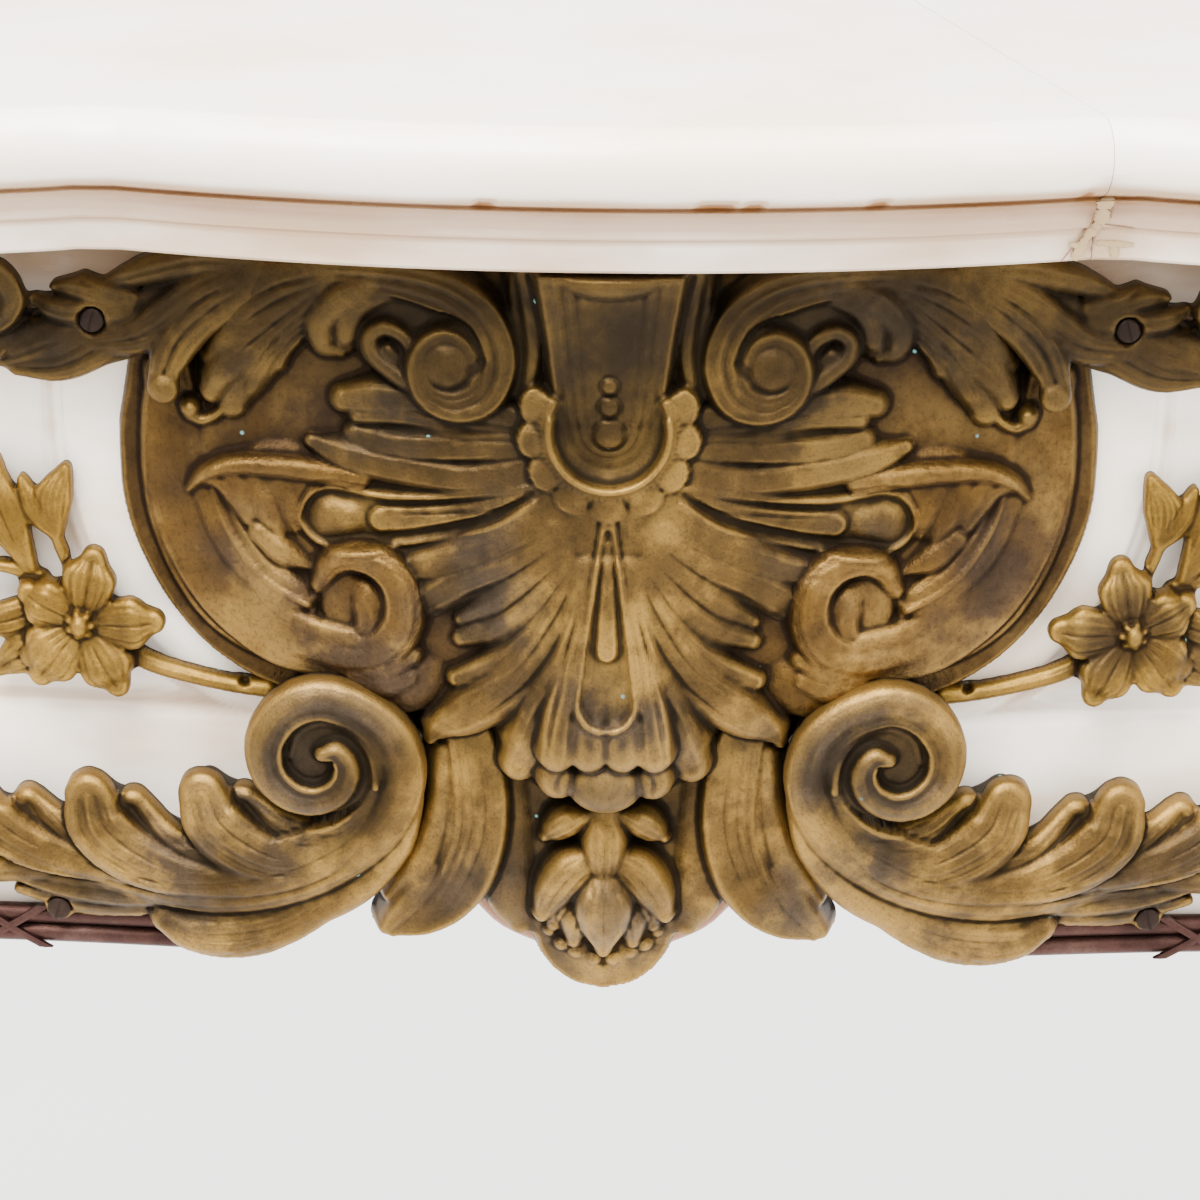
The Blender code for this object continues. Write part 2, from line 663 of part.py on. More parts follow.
SCROLL_PATH = [
    (-330, -118), (-290, -104), (-248, -98), (-223, -107), (-193, -115), (-164, -117), (-135, -111),
    (-110, -101), (-92, -86), (-83, -69), (-85, -50), (-97, -37), (-113, -32), (-126, -37), (-134, -51),
    (-132, -66), (-123, -75), (-112, -74),
]
SCROLL_WIDTHS = [2, 6, 10, 13, 15, 16, 16, 14, 12, 10.5, 9, 8, 7.5, 7, 7, 6.5, 5.5, 4]
SCROLL_HEIGHTS = [12, 16, 18, 24, 29, 33, 35, 36, 37, 38, 39, 39, 40, 40, 41, 42, 42, 42]


def make_scroll_left():
    """The left lower volute with its acanthus tail, lobe by lobe."""
    pieces = [
        stroke(SCROLL_PATH, SCROLL_WIDTHS, SCROLL_HEIGHTS, SCROLL, root=-3, steps=26, closed_tip=False),
        stroke([(-150, -132), (-124, -134), (-101, -122), (-83, -102), (-75, -80), (-77, -58), (-87, -40),
                (-101, -31), (-116, -28)],
               [5, 7, 7, 6, 5, 4.5, 3.5, 3, 2], [24, 26, 28, 29, 30, 31, 32, 33, 34], RIM, root=-3, steps=12),
        dome(-116, -60, 28, 9.5, 10.5, 19),
        stroke([(-131, -110), (-153, -99), (-165, -83), (-162, -70)],
               [8, 9, 7.5, 4], [34, 34, 33, 28], FLUTED, root=-3),
        stroke([(-128, -104), (-144, -94), (-152, -79)], [4, 4.5, 2.5], [32, 31, 26], root=-3),
        stroke([(-178, -120), (-203, -106), (-212, -88), (-205, -72)],
               [8, 9, 7.5, 4], [30, 30, 29, 24], FLUTED, root=-3),
        stroke([(-176, -112), (-189, -101), (-197, -86)],
               [4, 4.5, 2.5], [29, 28, 23], root=-3),
        stroke([(-236, -112), (-258, -98), (-266, -82), (-261, -72)],
               [7, 8, 6.5, 3], [24, 24, 23, 19], FLUTED, root=-3),
        stroke([(-118, -138), (-146, -149), (-168, -151), (-184, -147)],
               [4, 6, 6, 3], [22, 20, 19, 17], root=-3),
        stroke([(-190, -130), (-226, -138), (-250, -135)], [6, 7, 3], [18, 16, 14], root=-3),
        stroke([(-246, -120), (-282, -124), (-306, -134)], [7, 7, 3], [18, 17, 13], root=-3),
    ]
    return joined("scroll_left", pieces)


def make_upper_leaf_left():
    """The left upper leaf, which crosses the cartouche's rim and ends in a small scroll."""
    pieces = [
        stroke([(-136, 140), (-165, 130), (-187, 118), (-210, 111), (-230, 106), (-245, 100)],
               [8, 12, 14, 13, 9, 5], [26, 29, 28, 26, 24, 20], FLUTED, root=-6, steps=9),
        stroke([(-250, 104), (-254, 118), (-243, 130), (-230, 124), (-231, 113), (-240, 112)],
               [5, 5.5, 5.5, 5, 4, 3], [22, 25, 27, 27, 26, 25], ROUND, root=-6, steps=9),
        stroke([(-250, 112), (-276, 112), (-300, 104), (-318, 92)],
               [7, 8, 6, 2], [20, 19, 16, 12], FLUTED, root=-6),
        stroke([(-152, 130), (-163, 113), (-172, 98), (-175, 88)],
               [6, 7, 6.5, 5.5], [28, 29, 30, 27], FLUTED, root=4),
        stroke([(-156, 122), (-164, 108), (-167, 98)], [4, 3.5, 2.4], [27, 26, 24], root=4),
        stroke([(-158, 131), (-178, 130), (-193, 126)], [5, 5, 3], [25, 23, 19], root=-6),
        stroke([(-178, 116), (-192, 106), (-202, 102)], [5, 5, 3], [27, 25, 21], root=-6),
        stroke([(-206, 104), (-222, 97), (-240, 94)], [5, 5, 3], [22, 20, 16], root=-6),
    ]
    return joined("upper_leaf_left", pieces)


FLOWER = (-211, -13)
PETALS = ((78, 30), (2, 32), (-62, 31), (-128, 30), (150, 26))


def make_flower_spray_left():
    """The left flower: five petals about a boss, three leaves and a stem that meets the cartouche."""
    x, z = FLOWER
    pieces = [dome(x, z, 12, 6, 6, 14)]
    for turn, reach in PETALS:
        angle = math.radians(turn)
        shares = (0.05, 0.5, 0.92)
        points = [(x + s * reach * math.cos(angle), z + s * reach * math.sin(angle)) for s in shares]
        pieces.append(stroke(points, [4, 9, 6], [18, 21, 17], FLUTED, root=-6))
    pieces += [
        stroke([(-216, 2), (-223, 20), (-221, 38), (-217, 48)],
               [2.5, 4.5, 7, 3.5], [10, 12, 13, 10], FLUTED, root=-6),
        stroke([(-222, 4), (-233, 24), (-242, 46)], [3, 7, 3], [9, 11, 9], FLUTED, root=-6),
        stroke([(-222, -2), (-240, 6), (-258, 8), (-276, 0)], [2.5, 3, 3, 2], [9, 9, 9, 8], root=-6),
        stroke([(-258, 8), (-272, 20), (-282, 34)], [2, 6, 2.5], [9, 11, 9], FLUTED, root=-6),
        stroke([(-268, 2), (-284, -6), (-298, -20)], [2, 6.5, 2.5], [9, 11, 9], FLUTED, root=-6),
        stroke([(-192, -26), (-178, -34), (-158, -38), (-142, -39.5)],
               [4.5, 4.5, 4, 4], [11, 10, 9, 9], ROUND, root=-6),
    ]
    return joined("flower_spray_left", pieces)


def reed(name, side, z):
    """One reed of the rail as a round rod, which follows the bow from the scroll to the cut end."""
    curve = bpy.data.curves.new(name, "CURVE")
    curve.dimensions = "3D"
    curve.bevel_depth = RAIL_RADIUS
    curve.bevel_resolution = 1
    curve.use_fill_caps = True
    line = curve.splines.new("POLY")
    run = HALF_LENGTH - RAIL_START_X
    count = round(run / (2 * BOW_STEP))
    line.points.add(count)
    for i, point in enumerate(line.points):
        x = RAIL_START_X + run * i / count
        point.co = (*frieze_point(side * x, z, RAIL_RADIUS + FLOAT_GAP), 1)
    holder = bpy.data.objects.new(name, curve)
    CUTTERS.objects.link(holder)
    mesh = evaluated_mesh(holder)
    bpy.data.objects.remove(holder, do_unlink=True)
    bm = bmesh.new()
    bm.from_mesh(mesh)
    bmesh.ops.remove_doubles(bm, verts=bm.verts, dist=1e-6)
    return add_cutter(name, bm)


def make_rail_left():
    """The reeded rail along the frieze's foot: two reeds, bound where ribbons cross them."""
    top = FRIEZE_FOOT + RAIL_RISE
    bottom = FRIEZE_FOOT - RAIL_DROP
    middle = (top + bottom) / 2
    pieces = [reed("reed_top", -1, (middle + top) / 2), reed("reed_low", -1, (bottom + middle) / 2)]
    for i in range(3):
        x = -TIE_START_X - i * TIE_SPACING
        pieces.append(dome(x / STEP, middle / STEP, 4.5, 7, 9.5, 7, 8, 5))
    return joined("rail_left", pieces)


def screw_body(x, z, height):
    """A slotted screw's head, standing square out of the casting."""
    bm = bmesh.new()
    top_radius = SCREW_RADIUS * 0.8
    bmesh.ops.create_cone(
        bm, cap_ends=True, segments=SCREW_SIDES, radius1=SCREW_RADIUS, radius2=top_radius, depth=SCREW_HEAD
    )
    for vertex in bm.verts:
        sx, sz, sy = vertex.co
        vertex.co = (x * STEP + sx, height * STEP + sy, z * STEP + sz)
    bend(bm)
    head = add_cutter("screw", bm)
    slot = bmesh.new()
    bmesh.ops.create_cube(slot, size=1.0)
    for vertex in slot.verts:
        sx, sy, sz = vertex.co
        out = height * STEP + SCREW_HEAD * (sy + 0.75)
        vertex.co = (x * STEP + sx * 3 * SCREW_RADIUS, out, z * STEP + sz * SCREW_SLOT)
    bend(slot)
    cut = add_cutter("slot", slot)
    boolean(head, cut, "DIFFERENCE")
    bpy.data.objects.remove(cut, do_unlink=True)
    return head


def screw_pocket(x, z, height):
    """The countersunk place for a screw's head, a gap larger than the head and open to the front."""
    bm = bmesh.new()
    radius = SCREW_RADIUS + GAP
    bmesh.ops.create_cone(
        bm, cap_ends=True, segments=SCREW_SIDES, radius1=radius, radius2=radius, depth=CUTTER_REACH
    )
    floor = height * STEP - SCREW_HEAD / 2 - GAP
    for vertex in bm.verts:
        sx, sz, sy = vertex.co
        vertex.co = (x * STEP + sx, floor + CUTTER_REACH / 2 + sy, z * STEP + sz)
    bend(bm)
    return add_cutter("pocket", bm)


UPPER_SCREW = (-200, 115, 24)
LOWER_SCREW = (-226, -139, 14)


def clearance(obj, name):
    """The space that a body takes, a gap larger all round, for cutting its neighbour."""
    bm = bmesh.new()
    bm.from_mesh(obj.data)
    bm.normal_update()
    moves = [(vertex, vertex.normal.copy()) for vertex in bm.verts]
    for vertex, normal in moves:
        vertex.co += normal * FLOAT_GAP
    space = add_cutter(name, bm)
    boolean(space, obj, "UNION", "MANIFOLD")
    return space


def main():
    clear_scene()
    onyx = material("white_onyx", (0.86, 0.80, 0.72), 0.35, 0.0)
    bronze = material("aged_bronze", (0.30, 0.21, 0.10), 0.42, 1.0)
    gilt = material("gilt_bronze", (0.52, 0.36, 0.12), 0.38, 1.0)
    red_bronze = material("red_bronze", (0.24, 0.11, 0.08), 0.45, 1.0)
    steel = material("screw_steel", (0.09, 0.07, 0.06), 0.5, 1.0)

    make_shelf(onyx)
    make_frieze(onyx)
    seats = make_seat()

    screws = {}
    for level, place in (("upper", UPPER_SCREW), ("lower", LOWER_SCREW)):
        screws[level] = (screw_body(*place), screw_pocket(*place))

    scroll = seated(thinned(make_scroll_left(), ORNAMENT_KEEP), seats, [screws["lower"][1]])
    leaf = seated(thinned(make_upper_leaf_left(), ORNAMENT_KEEP), seats, [screws["upper"][1]])
    scroll_space = clearance(scroll, "scroll_space")
    leaf_space = clearance(leaf, "leaf_space")
    spray = seated(thinned(make_flower_spray_left(), ORNAMENT_KEEP), seats, [scroll_space, leaf_space])
    spray_space = clearance(spray, "spray_space")
    rail = seated(thinned(make_rail_left(), ORNAMENT_KEEP), seats, [scroll_space])
    left_spaces = [scroll_space, leaf_space, spray_space]
    right_spaces = [mirrored(space, "space") for space in left_spaces]
    make_cartouche(bronze, seats, left_spaces + right_spaces)

    pairs = (
        (scroll, "scroll", bronze), (leaf, "upper_leaf", bronze), (spray, "flower_spray", gilt),
        (rail, "rail", red_bronze), (screws["upper"][0], "upper_screw", steel),
        (screws["lower"][0], "lower_screw", steel),
    )
    for body, name, finish in pairs:
        twin = mirrored(body, name + "_right")
        finished(body, name + "_left", finish)
        finished(twin, name + "_right", finish)


PARTS = make_collection("fireplace_mantel")
CUTTERS = make_collection("cutters")
main()
for helper in list(CUTTERS.objects):
    bpy.data.objects.remove(helper, do_unlink=True)
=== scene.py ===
"""Looks for the middle of a fireplace mantel: onyx shelf and frieze, and chased bronze mounts."""

import math

import bmesh
import bpy
import numpy as np
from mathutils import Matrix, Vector


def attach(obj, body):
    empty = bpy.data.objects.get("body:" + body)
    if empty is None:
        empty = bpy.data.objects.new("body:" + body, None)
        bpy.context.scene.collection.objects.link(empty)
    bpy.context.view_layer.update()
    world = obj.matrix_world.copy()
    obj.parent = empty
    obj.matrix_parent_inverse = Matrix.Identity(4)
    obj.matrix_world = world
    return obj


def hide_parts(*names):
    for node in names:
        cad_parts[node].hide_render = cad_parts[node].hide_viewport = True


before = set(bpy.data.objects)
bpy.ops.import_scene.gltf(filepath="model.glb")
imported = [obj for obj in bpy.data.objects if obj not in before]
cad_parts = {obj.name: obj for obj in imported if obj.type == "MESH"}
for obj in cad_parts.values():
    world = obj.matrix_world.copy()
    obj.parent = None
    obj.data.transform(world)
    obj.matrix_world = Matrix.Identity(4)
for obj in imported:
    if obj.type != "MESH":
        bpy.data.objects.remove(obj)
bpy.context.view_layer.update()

# Places that the solids share, in metres
HALF_LENGTH = 0.500
SLAB_THICK = 0.030
UNDER_MOULD_HEIGHT = 0.026
FASCIA_HEIGHT = 0.013
FASCIA_INSET = 0.020
FASCIA_ROUND = 0.0016
COVE_INSET = 0.011
COVE_EDGE = 0.0012
SHELF_BACK_TO_FRIEZE = 0.235
SHELF_OVERHANG = 0.105
SHELF_BOW = 0.031
CUSP_X = 0.183
CUSP_FLAT = 0.016
END_BOW = 0.024
JOINT_SLANT = 0.049
JOINT_GAP = 0.0003
UNDERSIDE_Z = -0.028
SHELL_Z = -0.176

# The bronzes and the frieze's face, in millimetres: x and z from the shell's middle, and out from the stone
BOW = 20.0
BOW_REACH = 300.0
SEAT_GAP = 0.3
PANEL_DEPTH = 4.0
FRIEZE_THICK = 45.0
FRIEZE_TOP = 147.7
NOTHING = -30.0
CELL = 0.73
SPRAY_CELL = 0.62
FREE_SLOPE = 14.0
WALL_SLOPE = 4.0
SAMPLES = 64
RIM_PASSES = 5
FREE_RIM_PASSES = 14
HAND_WORK = 0.16
SPRAY_HAND_WORK = 0.10
CARTOUCHE_BOTTOM = -167
CARTOUCHE_LEFT = -196
SMOOTH_ANGLE = math.radians(70)
STONE_SMOOTH_ANGLE = math.radians(40)
SCREW_SMOOTH_ANGLE = math.radians(35)
EVERYWHERE = (slice(None), slice(None))


def bow(x):
    """How far the stone's face stands forward at x, over its flat ends, in millimetres."""
    reach = np.minimum(np.abs(x), BOW_REACH) / BOW_REACH
    return BOW * (np.cos(math.pi * reach) + 1) / 2


def place(x, z, out):
    """World coordinates of points drawn on the frieze, as rows of three."""
    y = -(SHELF_BACK_TO_FRIEZE + (bow(x) + out) / 1000)
    return np.stack([x / 1000, y, SHELL_Z + z / 1000], axis=-1)


def smooth_path(points, count):
    """Evenly shared places along a Catmull-Rom curve through the points."""
    points = np.array(points, float)
    if points.ndim == 1:
        points = points[:, None]
    spans = len(points) - 1
    ends = np.concatenate([[2 * points[0] - points[1]], points, [2 * points[-1] - points[-2]]])
    at = np.linspace(0, spans, count)
    i = np.minimum(at.astype(int), spans - 1)
    t = (at - i)[:, None]
    a, b, c, d = (ends[i + k] for k in range(4))
    return 0.5 * (2 * b + (c - a) * t + (2 * a - 5 * b + 4 * c - d) * t**2 + (3 * b - a - 3 * c + d) * t**3)


def along_path(values, share, least=-math.inf):
    """Values given at a path's points, read at shares of its length."""
    curve = np.maximum(least, smooth_path(values, SAMPLES)[:, 0])
    return np.interp(share, np.linspace(0, 1, SAMPLES), curve)


def ease(value, low, high):
    """0 below low, 1 above high and smooth between."""
    t = np.clip((value - low) / (high - low), 0, 1)
    return t * t * (3 - 2 * t)


def blurred(field, radius):
    """A field of cells averaged over about radius cells each way."""
    size = int(3 * radius)
    weights = np.exp(-0.5 * (np.arange(-size, size + 1) / radius) ** 2)
    weights /= weights.sum()
    for axis in (0, 1):
        pad = [(size, size) if a == axis else (0, 0) for a in (0, 1)]
        padded = np.pad(field, pad, mode="edge")
        total = 0
        for k, weight in enumerate(weights):
            part = padded[k:k + field.shape[0], :] if axis == 0 else padded[:, k:k + field.shape[1]]
            total = total + weight * part
        field = total
    return field


# Sections across a stroke: t runs from -1 to 1 and share from 0 to 1 along it. 1 is the crest.


def domed(t, share):
    return 1 - np.abs(t) ** 2.6


def fluted(count, depth, start=0.1):
    """A crown with soft hollow flutes that fade in from its root."""

    def section(t, share):
        fade = ease(share, start, start + 0.35)
        wave = 0.5 + 0.5 * np.cos(math.pi * count * (t + 1))
        return 1 - np.abs(t) ** 3.0 - depth * fade * wave * (1 - np.abs(t) ** 6)

    return section


def banded(*stops):
    """A moulded band: (t, height) stops with rounded ridges and hollows between them."""
    places = [t for t, _ in stops]
    levels = [level for _, level in stops]

    def section(t, share):
        i = np.clip(np.searchsorted(places, t) - 1, 0, len(stops) - 2)
        low = np.take(places, i)
        high = np.take(places, i + 1)
        mix = ease(t, low, high)
        return np.take(levels, i) * (1 - mix) + np.take(levels, i + 1) * mix

    return section


class Relief:
    """A height map of a casting, in millimetres, which strokes build up."""

    def __init__(self, left, right, bottom, top, cell=CELL, free=False):
        self.cell = cell
        self.free = free
        self.slope = FREE_SLOPE if free else WALL_SLOPE
        self.x = left + cell * np.arange(round((right - left) / cell) + 1)
        self.z = bottom + cell * np.arange(round((top - bottom) / cell) + 1)
        shape = (len(self.z), len(self.x))
        self.height = np.full(shape, NOTHING)
        self.along = np.zeros(shape)
        self.across = np.zeros(shape)
        self.owner = np.zeros(shape, int)
        self.covered = np.zeros(shape, bool)
        self.strokes = 0

    def grid(self):
        """The x and z of every cell."""
        return np.meshgrid(self.x, self.z)

    def window(self, low, high, reach):
        """The rows and columns of the cells near a box."""
        spans = []
        for axis, k in ((self.z, 1), (self.x, 0)):
            start = int(np.searchsorted(axis, low[k] - reach))
            stop = int(np.searchsorted(axis, high[k] + reach))
            spans.append(slice(start, max(stop, start)))
        return tuple(spans)

    def trace(self, points, reach):
        """For cells near a smooth path: share along it, run in millimetres and signed distance."""
        count = max(12, 6 * len(points))
        spots = smooth_path(points, count)
        whole = self.window(spots.min(0), spots.max(0), reach)
        x, z = np.meshgrid(self.x[whole[1]], self.z[whole[0]])
        best = np.full(x.shape, 1e6)
        share = np.zeros(x.shape)
        run = np.zeros(x.shape)
        side = np.ones(x.shape)
        gone = 0.0
        for k in range(count - 1):
            a, b = spots[k], spots[k + 1]
            rows, columns = self.window(np.minimum(a, b), np.maximum(a, b), reach)
            rows = slice(rows.start - whole[0].start, rows.stop - whole[0].start)
            columns = slice(columns.start - whole[1].start, columns.stop - whole[1].start)
            step = b - a
            length = float(np.hypot(*step))
            if length < 1e-6 or rows.stop <= rows.start or columns.stop <= columns.start:
                continue
            px = x[rows, columns] - a[0]
            pz = z[rows, columns] - a[1]
            t = np.clip((px * step[0] + pz * step[1]) / length**2, 0, 1)
            distance = np.hypot(px - t * step[0], pz - t * step[1])
            closer = distance < best[rows, columns]
            for field, value in (
                (best, distance), (share, (k + t) / (count - 1)), (run, gone + t * length),
                (side, np.where(step[0] * pz - step[1] * px >= 0, 1.0, -1.0)),
            ):
                field[rows, columns] = np.where(closer, value, field[rows, columns])
            gone += length
        return whole, share, run, best * side

    def stroke(self, points, widths, tops, lift=5.0, section=domed, blend=1.0, owner=None):
        """Adds a swept form: half widths and crest heights along the path, and lift from edge to crest."""
        reach = max(widths) + (max(tops) + 4) / self.slope
        where, share, run, distance = self.trace(points, reach)
        width = along_path(widths, share, 0.3)
        top = along_path(tops, share)
        t = distance / width
        inside = np.clip(t, -1, 1)
        outside = np.maximum(0, np.abs(distance) - width)
        crown = lift * (0.35 + 0.65 * width / max(widths))
        made = top - crown * (1 - section(inside, share)) - outside * self.slope
        made = np.where(outside > reach - max(widths), NOTHING, made)
        self.lay(where, made, blend, owner)
        self.covered[where] |= outside <= 0
        won = made >= self.height[where] - 0.6 * blend
        self.strokes += 1
        self.along[where] = np.where(won, run + 37.0 * self.strokes, self.along[where])
        self.across[where] = np.where(won, distance, self.across[where])

    def leaf(self, points, widths, tops, lift=4.0, flutes=2, depth=0.16, blend=1.2, owner=None):
        """Adds a leaf lobe: softly folded, and on a ground also a broader, lower body that joins it on."""
        if not self.free:
            body = [1.25 * w for w in widths[:-1]]
            self.stroke(points[:-1], body, [top - 2.2 for top in tops[:-1]], 1.5 * lift, domed, 2.6, owner)
        self.stroke(points, widths, tops, lift, fluted(flutes, depth), blend, owner)

    def carve(self, points, width=0.9, depth=1.0):
        """Cuts a chaser's line into the surface, fading at both ends."""
        depths = [0.2 * depth] + [depth] * (len(points) - 2) + [0.2 * depth]
        self.emboss(points, [width] * len(points), [-d for d in depths])

    def striped(self, points, widths, spreads, width=0.8, depth=1.0):
        """Cuts lines along a leaf, each at its share of the half width from the middle."""
        spots = smooth_path(points, 9)
        wide = along_path(widths, np.linspace(0, 1, 9))
        run = np.gradient(spots, axis=0)
        across = np.stack([-run[:, 1], run[:, 0]], axis=1) / np.hypot(run[:, 0], run[:, 1])[:, None]
        for spread in spreads:
            line = spots + across * (spread * wide)[:, None]
            self.carve([tuple(spot) for spot in line[1:]], width, depth)

    def lay(self, where, made, blend, owner):
        """Joins a new surface to what is there, with a small fillet where they meet."""
        old = self.height[where]
        apart = np.abs(made - old)
        fillet = np.where(apart < blend, (blend - apart) ** 2 / (4 * blend), 0) if blend else 0
        if owner is not None:
            self.owner[where] = np.where(made > old, owner, self.owner[where])
        self.height[where] = np.maximum(made, old) + fillet

    def emboss(self, points, widths, amounts, section=domed):
        """Raises or cuts a line into the surface that is there."""
        where, share, _, distance = self.trace(points, max(widths))
        width = along_path(widths, share, 0.2)
        amount = along_path(amounts, share)
        t = np.clip(distance / width, -1, 1)
        self.height[where] += np.where(np.abs(distance) < width, amount * section(t, share), 0)

    def dome(self, x, z, across, up, base, rise, power=2.0, blend=0.5, owner=None):
        """Adds a rounded boss whose edge is at base."""
        reach = max(across, up) + 6
        where = self.window((x, z), (x, z), reach)
        gx, gz = np.meshgrid(self.x[where[1]], self.z[where[0]])
        r = np.sqrt(((gx - x) / across) ** 2 + ((gz - z) / up) ** 2)
        crown = base + rise * np.sqrt(np.maximum(0, 1 - np.minimum(r, 1) ** power))
        skirt = (np.maximum(r, 1) - 1) * min(across, up) * WALL_SLOPE
        made = np.where(r < 1, crown, base - skirt)
        self.lay(where, made, blend, owner)
        self.covered[where] |= r < 1
        won = made >= self.height[where] - blend
        self.along[where] = np.where(won, gz - z, self.along[where])
        self.across[where] = np.where(won, gx - x, self.across[where])

    def fill(self, outline, height, blend=0.5, owner=None):
        """Adds a flat web inside a closed outline."""
        depth = depth_inside(outline, *self.grid())
        made = np.where(depth > 0, height, height + depth * WALL_SLOPE)
        made = np.where(depth < -8, NOTHING, made)
        self.lay(EVERYWHERE, made, blend, owner)

    def softened(self, radius=0.75):
        """Takes the stair steps off steep walls."""
        stone = stone_face(*self.grid())
        level = np.maximum(self.height, stone - 2)
        smooth = blurred(level, radius)
        self.height = np.where(self.height > stone + 0.5, smooth, self.height)

    def mirrored_whole(self):
        """The same relief carried over the centre line; the first column past x = 0 is dropped."""
        keep = self.x <= self.cell * 0.01
        whole = Relief.__new__(Relief)
        whole.cell = self.cell
        whole.slope = self.slope
        whole.free = self.free
        whole.z = self.z
        whole.strokes = self.strokes
        left = self.x[keep]
        whole.x = np.concatenate([left, -left[:-1][::-1]])
        for name in ("height", "along", "across", "owner", "covered"):
            field = getattr(self, name)[:, keep]
            setattr(whole, name, np.concatenate([field, field[:, :-1][:, ::-1]], axis=1))
        return whole


def depth_inside(outline, x, z):
    """Distance in from a closed outline, below zero outside it."""
    outline = np.array(outline, float)
    following = np.roll(outline, -1, axis=0)
    nearest = np.full(x.shape, 1e6)
    inside = np.zeros(x.shape, bool)
    for (ax, az), (bx, bz) in zip(outline, following):
        dx, dz = bx - ax, bz - az
        t = np.clip(((x - ax) * dx + (z - az) * dz) / (dx * dx + dz * dz), 0, 1)
        nearest = np.minimum(nearest, np.hypot(x - ax - t * dx, z - az - t * dz))
        if az != bz:
            crosses = (az > z) != (bz > z)
            inside ^= crosses & (x < ax + (z - az) / dz * dx)
    return np.where(inside, nearest, -nearest)


PANEL_OUTLINE = [
    (-217, 114), (-217, 90), (-216.5, 62), (-215, 45), (-211, 24), (-203, 3), (-191, -16), (-175, -33),
    (-155, -47), (-135, -56), (-470, -56), (-470, 114),
]


def stone_face(x, z):
    """Height of the frieze's face over its bowed surface: 0 on the flats, with a sunk and moulded panel."""
    smooth = smooth_path(PANEL_OUTLINE[:10], 60)
    outline = [tuple(point) for point in smooth] + PANEL_OUTLINE[10:]
    depth = depth_inside(outline, -np.abs(x), z)
    step = 0.35 * PANEL_DEPTH * ease(depth, 0.0, 1.2)
    slope = 0.35 * PANEL_DEPTH * ease(depth, 1.5, 8.0)
    inner = 0.3 * PANEL_DEPTH * ease(depth, 9.0, 10.5)
    return -(step + slope + inner)


def fill_mesh(name, vertices, loops, counts, attributes, uvs=None):
    """A mesh object from arrays: faces of counts corners each, and values on its vertices."""
    mesh = bpy.data.meshes.new(name)
    mesh.vertices.add(len(vertices))
    mesh.vertices.foreach_set("co", np.asarray(vertices, np.float32).ravel())
    mesh.loops.add(len(loops))
    mesh.loops.foreach_set("vertex_index", np.asarray(loops, np.int32))
    starts = np.concatenate([[0], np.cumsum(counts)[:-1]]).astype(np.int32)
    mesh.polygons.add(len(counts))
    mesh.polygons.foreach_set("loop_start", starts)
    mesh.update(calc_edges=True)
    for key, values in attributes.items():
        layer = mesh.attributes.new(key, "FLOAT", "POINT")
        layer.data.foreach_set("value", np.asarray(values, np.float32))
    if uvs is not None:
        layer = mesh.uv_layers.new(name="flow")
        layer.data.foreach_set("uv", np.asarray(uvs, np.float32)[np.asarray(loops)].ravel())
    mesh.validate()
    mesh.shade_smooth()
    obj = bpy.data.objects.new(name, mesh)
    bpy.context.scene.collection.objects.link(obj)
    return obj


def cap_faces(loops_of_points):
    """Triangles that close flat outlines of points, as rows of three indices into all of them."""
    bm = bmesh.new()
    made = []
    edges = []
    for points in loops_of_points:
        ring = [bm.verts.new((x, z, 0)) for x, z in points]
        made += ring
        edges += [bm.edges.new((a, b)) for a, b in zip(ring, ring[1:] + ring[:1])]
    bm.verts.index_update()
    bmesh.ops.triangle_fill(bm, edges=edges, use_beauty=False)
    faces = [[v.index for v in face.verts] for face in bm.faces]
    places = [v.co.copy() for v in made]
    bm.free()
    turned = []
    for a, b, c in faces:
        area = (places[b] - places[a]).cross(places[c] - places[a]).z
        turned.append((a, b, c) if area > 0 else (a, c, b))
    return turned


def boundary_rings(quads):
    """Closed rings of vertex numbers round a sheet of quads, in the sheet's own sense."""
    edges = np.concatenate([quads[:, [k, (k + 1) % 4]] for k in range(4)])
    size = edges.max() + 1
    forward = edges[:, 0] * size + edges[:, 1]
    backward = edges[:, 1] * size + edges[:, 0]
    rim = edges[~np.isin(forward, backward)]
    follow = {}
    for a, b in rim.tolist():
        follow.setdefault(a, []).append(b)
    rings = []
    while follow:
        start = next(iter(follow))
        ring = [start]
        here = start
        while True:
            nexts = follow[here]
            here = nexts.pop()
            if not nexts:
                del follow[ring[-1]]
            if here == start:
                break
            ring.append(here)
        rings.append(ring)
    return rings


def clean_mask(mask):
    """Drops cells that touch the rest only at a corner, so that the sheet's rim never meets itself."""
    for _ in range(6):
        a, b = mask[:-1, :-1], mask[:-1, 1:]
        c, d = mask[1:, :-1], mask[1:, 1:]
        falling = a & d & ~b & ~c
        rising = b & c & ~a & ~d
        if not (falling.any() or rising.any()):
            break
        mask = mask.copy()
        mask[:-1, :-1] &= ~falling
        mask[1:, :-1] &= ~rising
    return mask


def eased_rims(rings, fields, passes=RIM_PASSES):
    """Smooths the outlines of a sheet, which follow the cells in steps."""
    for _ in range(passes):
        for ring in rings:
            for values in fields:
                line = values[ring]
                values[ring] = 0.5 * line + 0.25 * (np.roll(line, 1) + np.roll(line, -1))


def solid_cells(relief, owner, floor):
    """The cells that a piece takes in."""
    tall = relief.height > relief.stone + floor
    if relief.free:
        tall &= relief.covered
    solid = tall.copy()
    if owner is not None:
        solid &= np.isin(relief.owner, owner)
        solid[:, :-1] |= solid[:, 1:] & tall[:, :-1]
        solid[:-1, :] |= solid[1:, :] & tall[:-1, :]
    return clean_mask(solid[:-1, :-1] & solid[:-1, 1:] & solid[1:, :-1] & solid[1:, 1:])


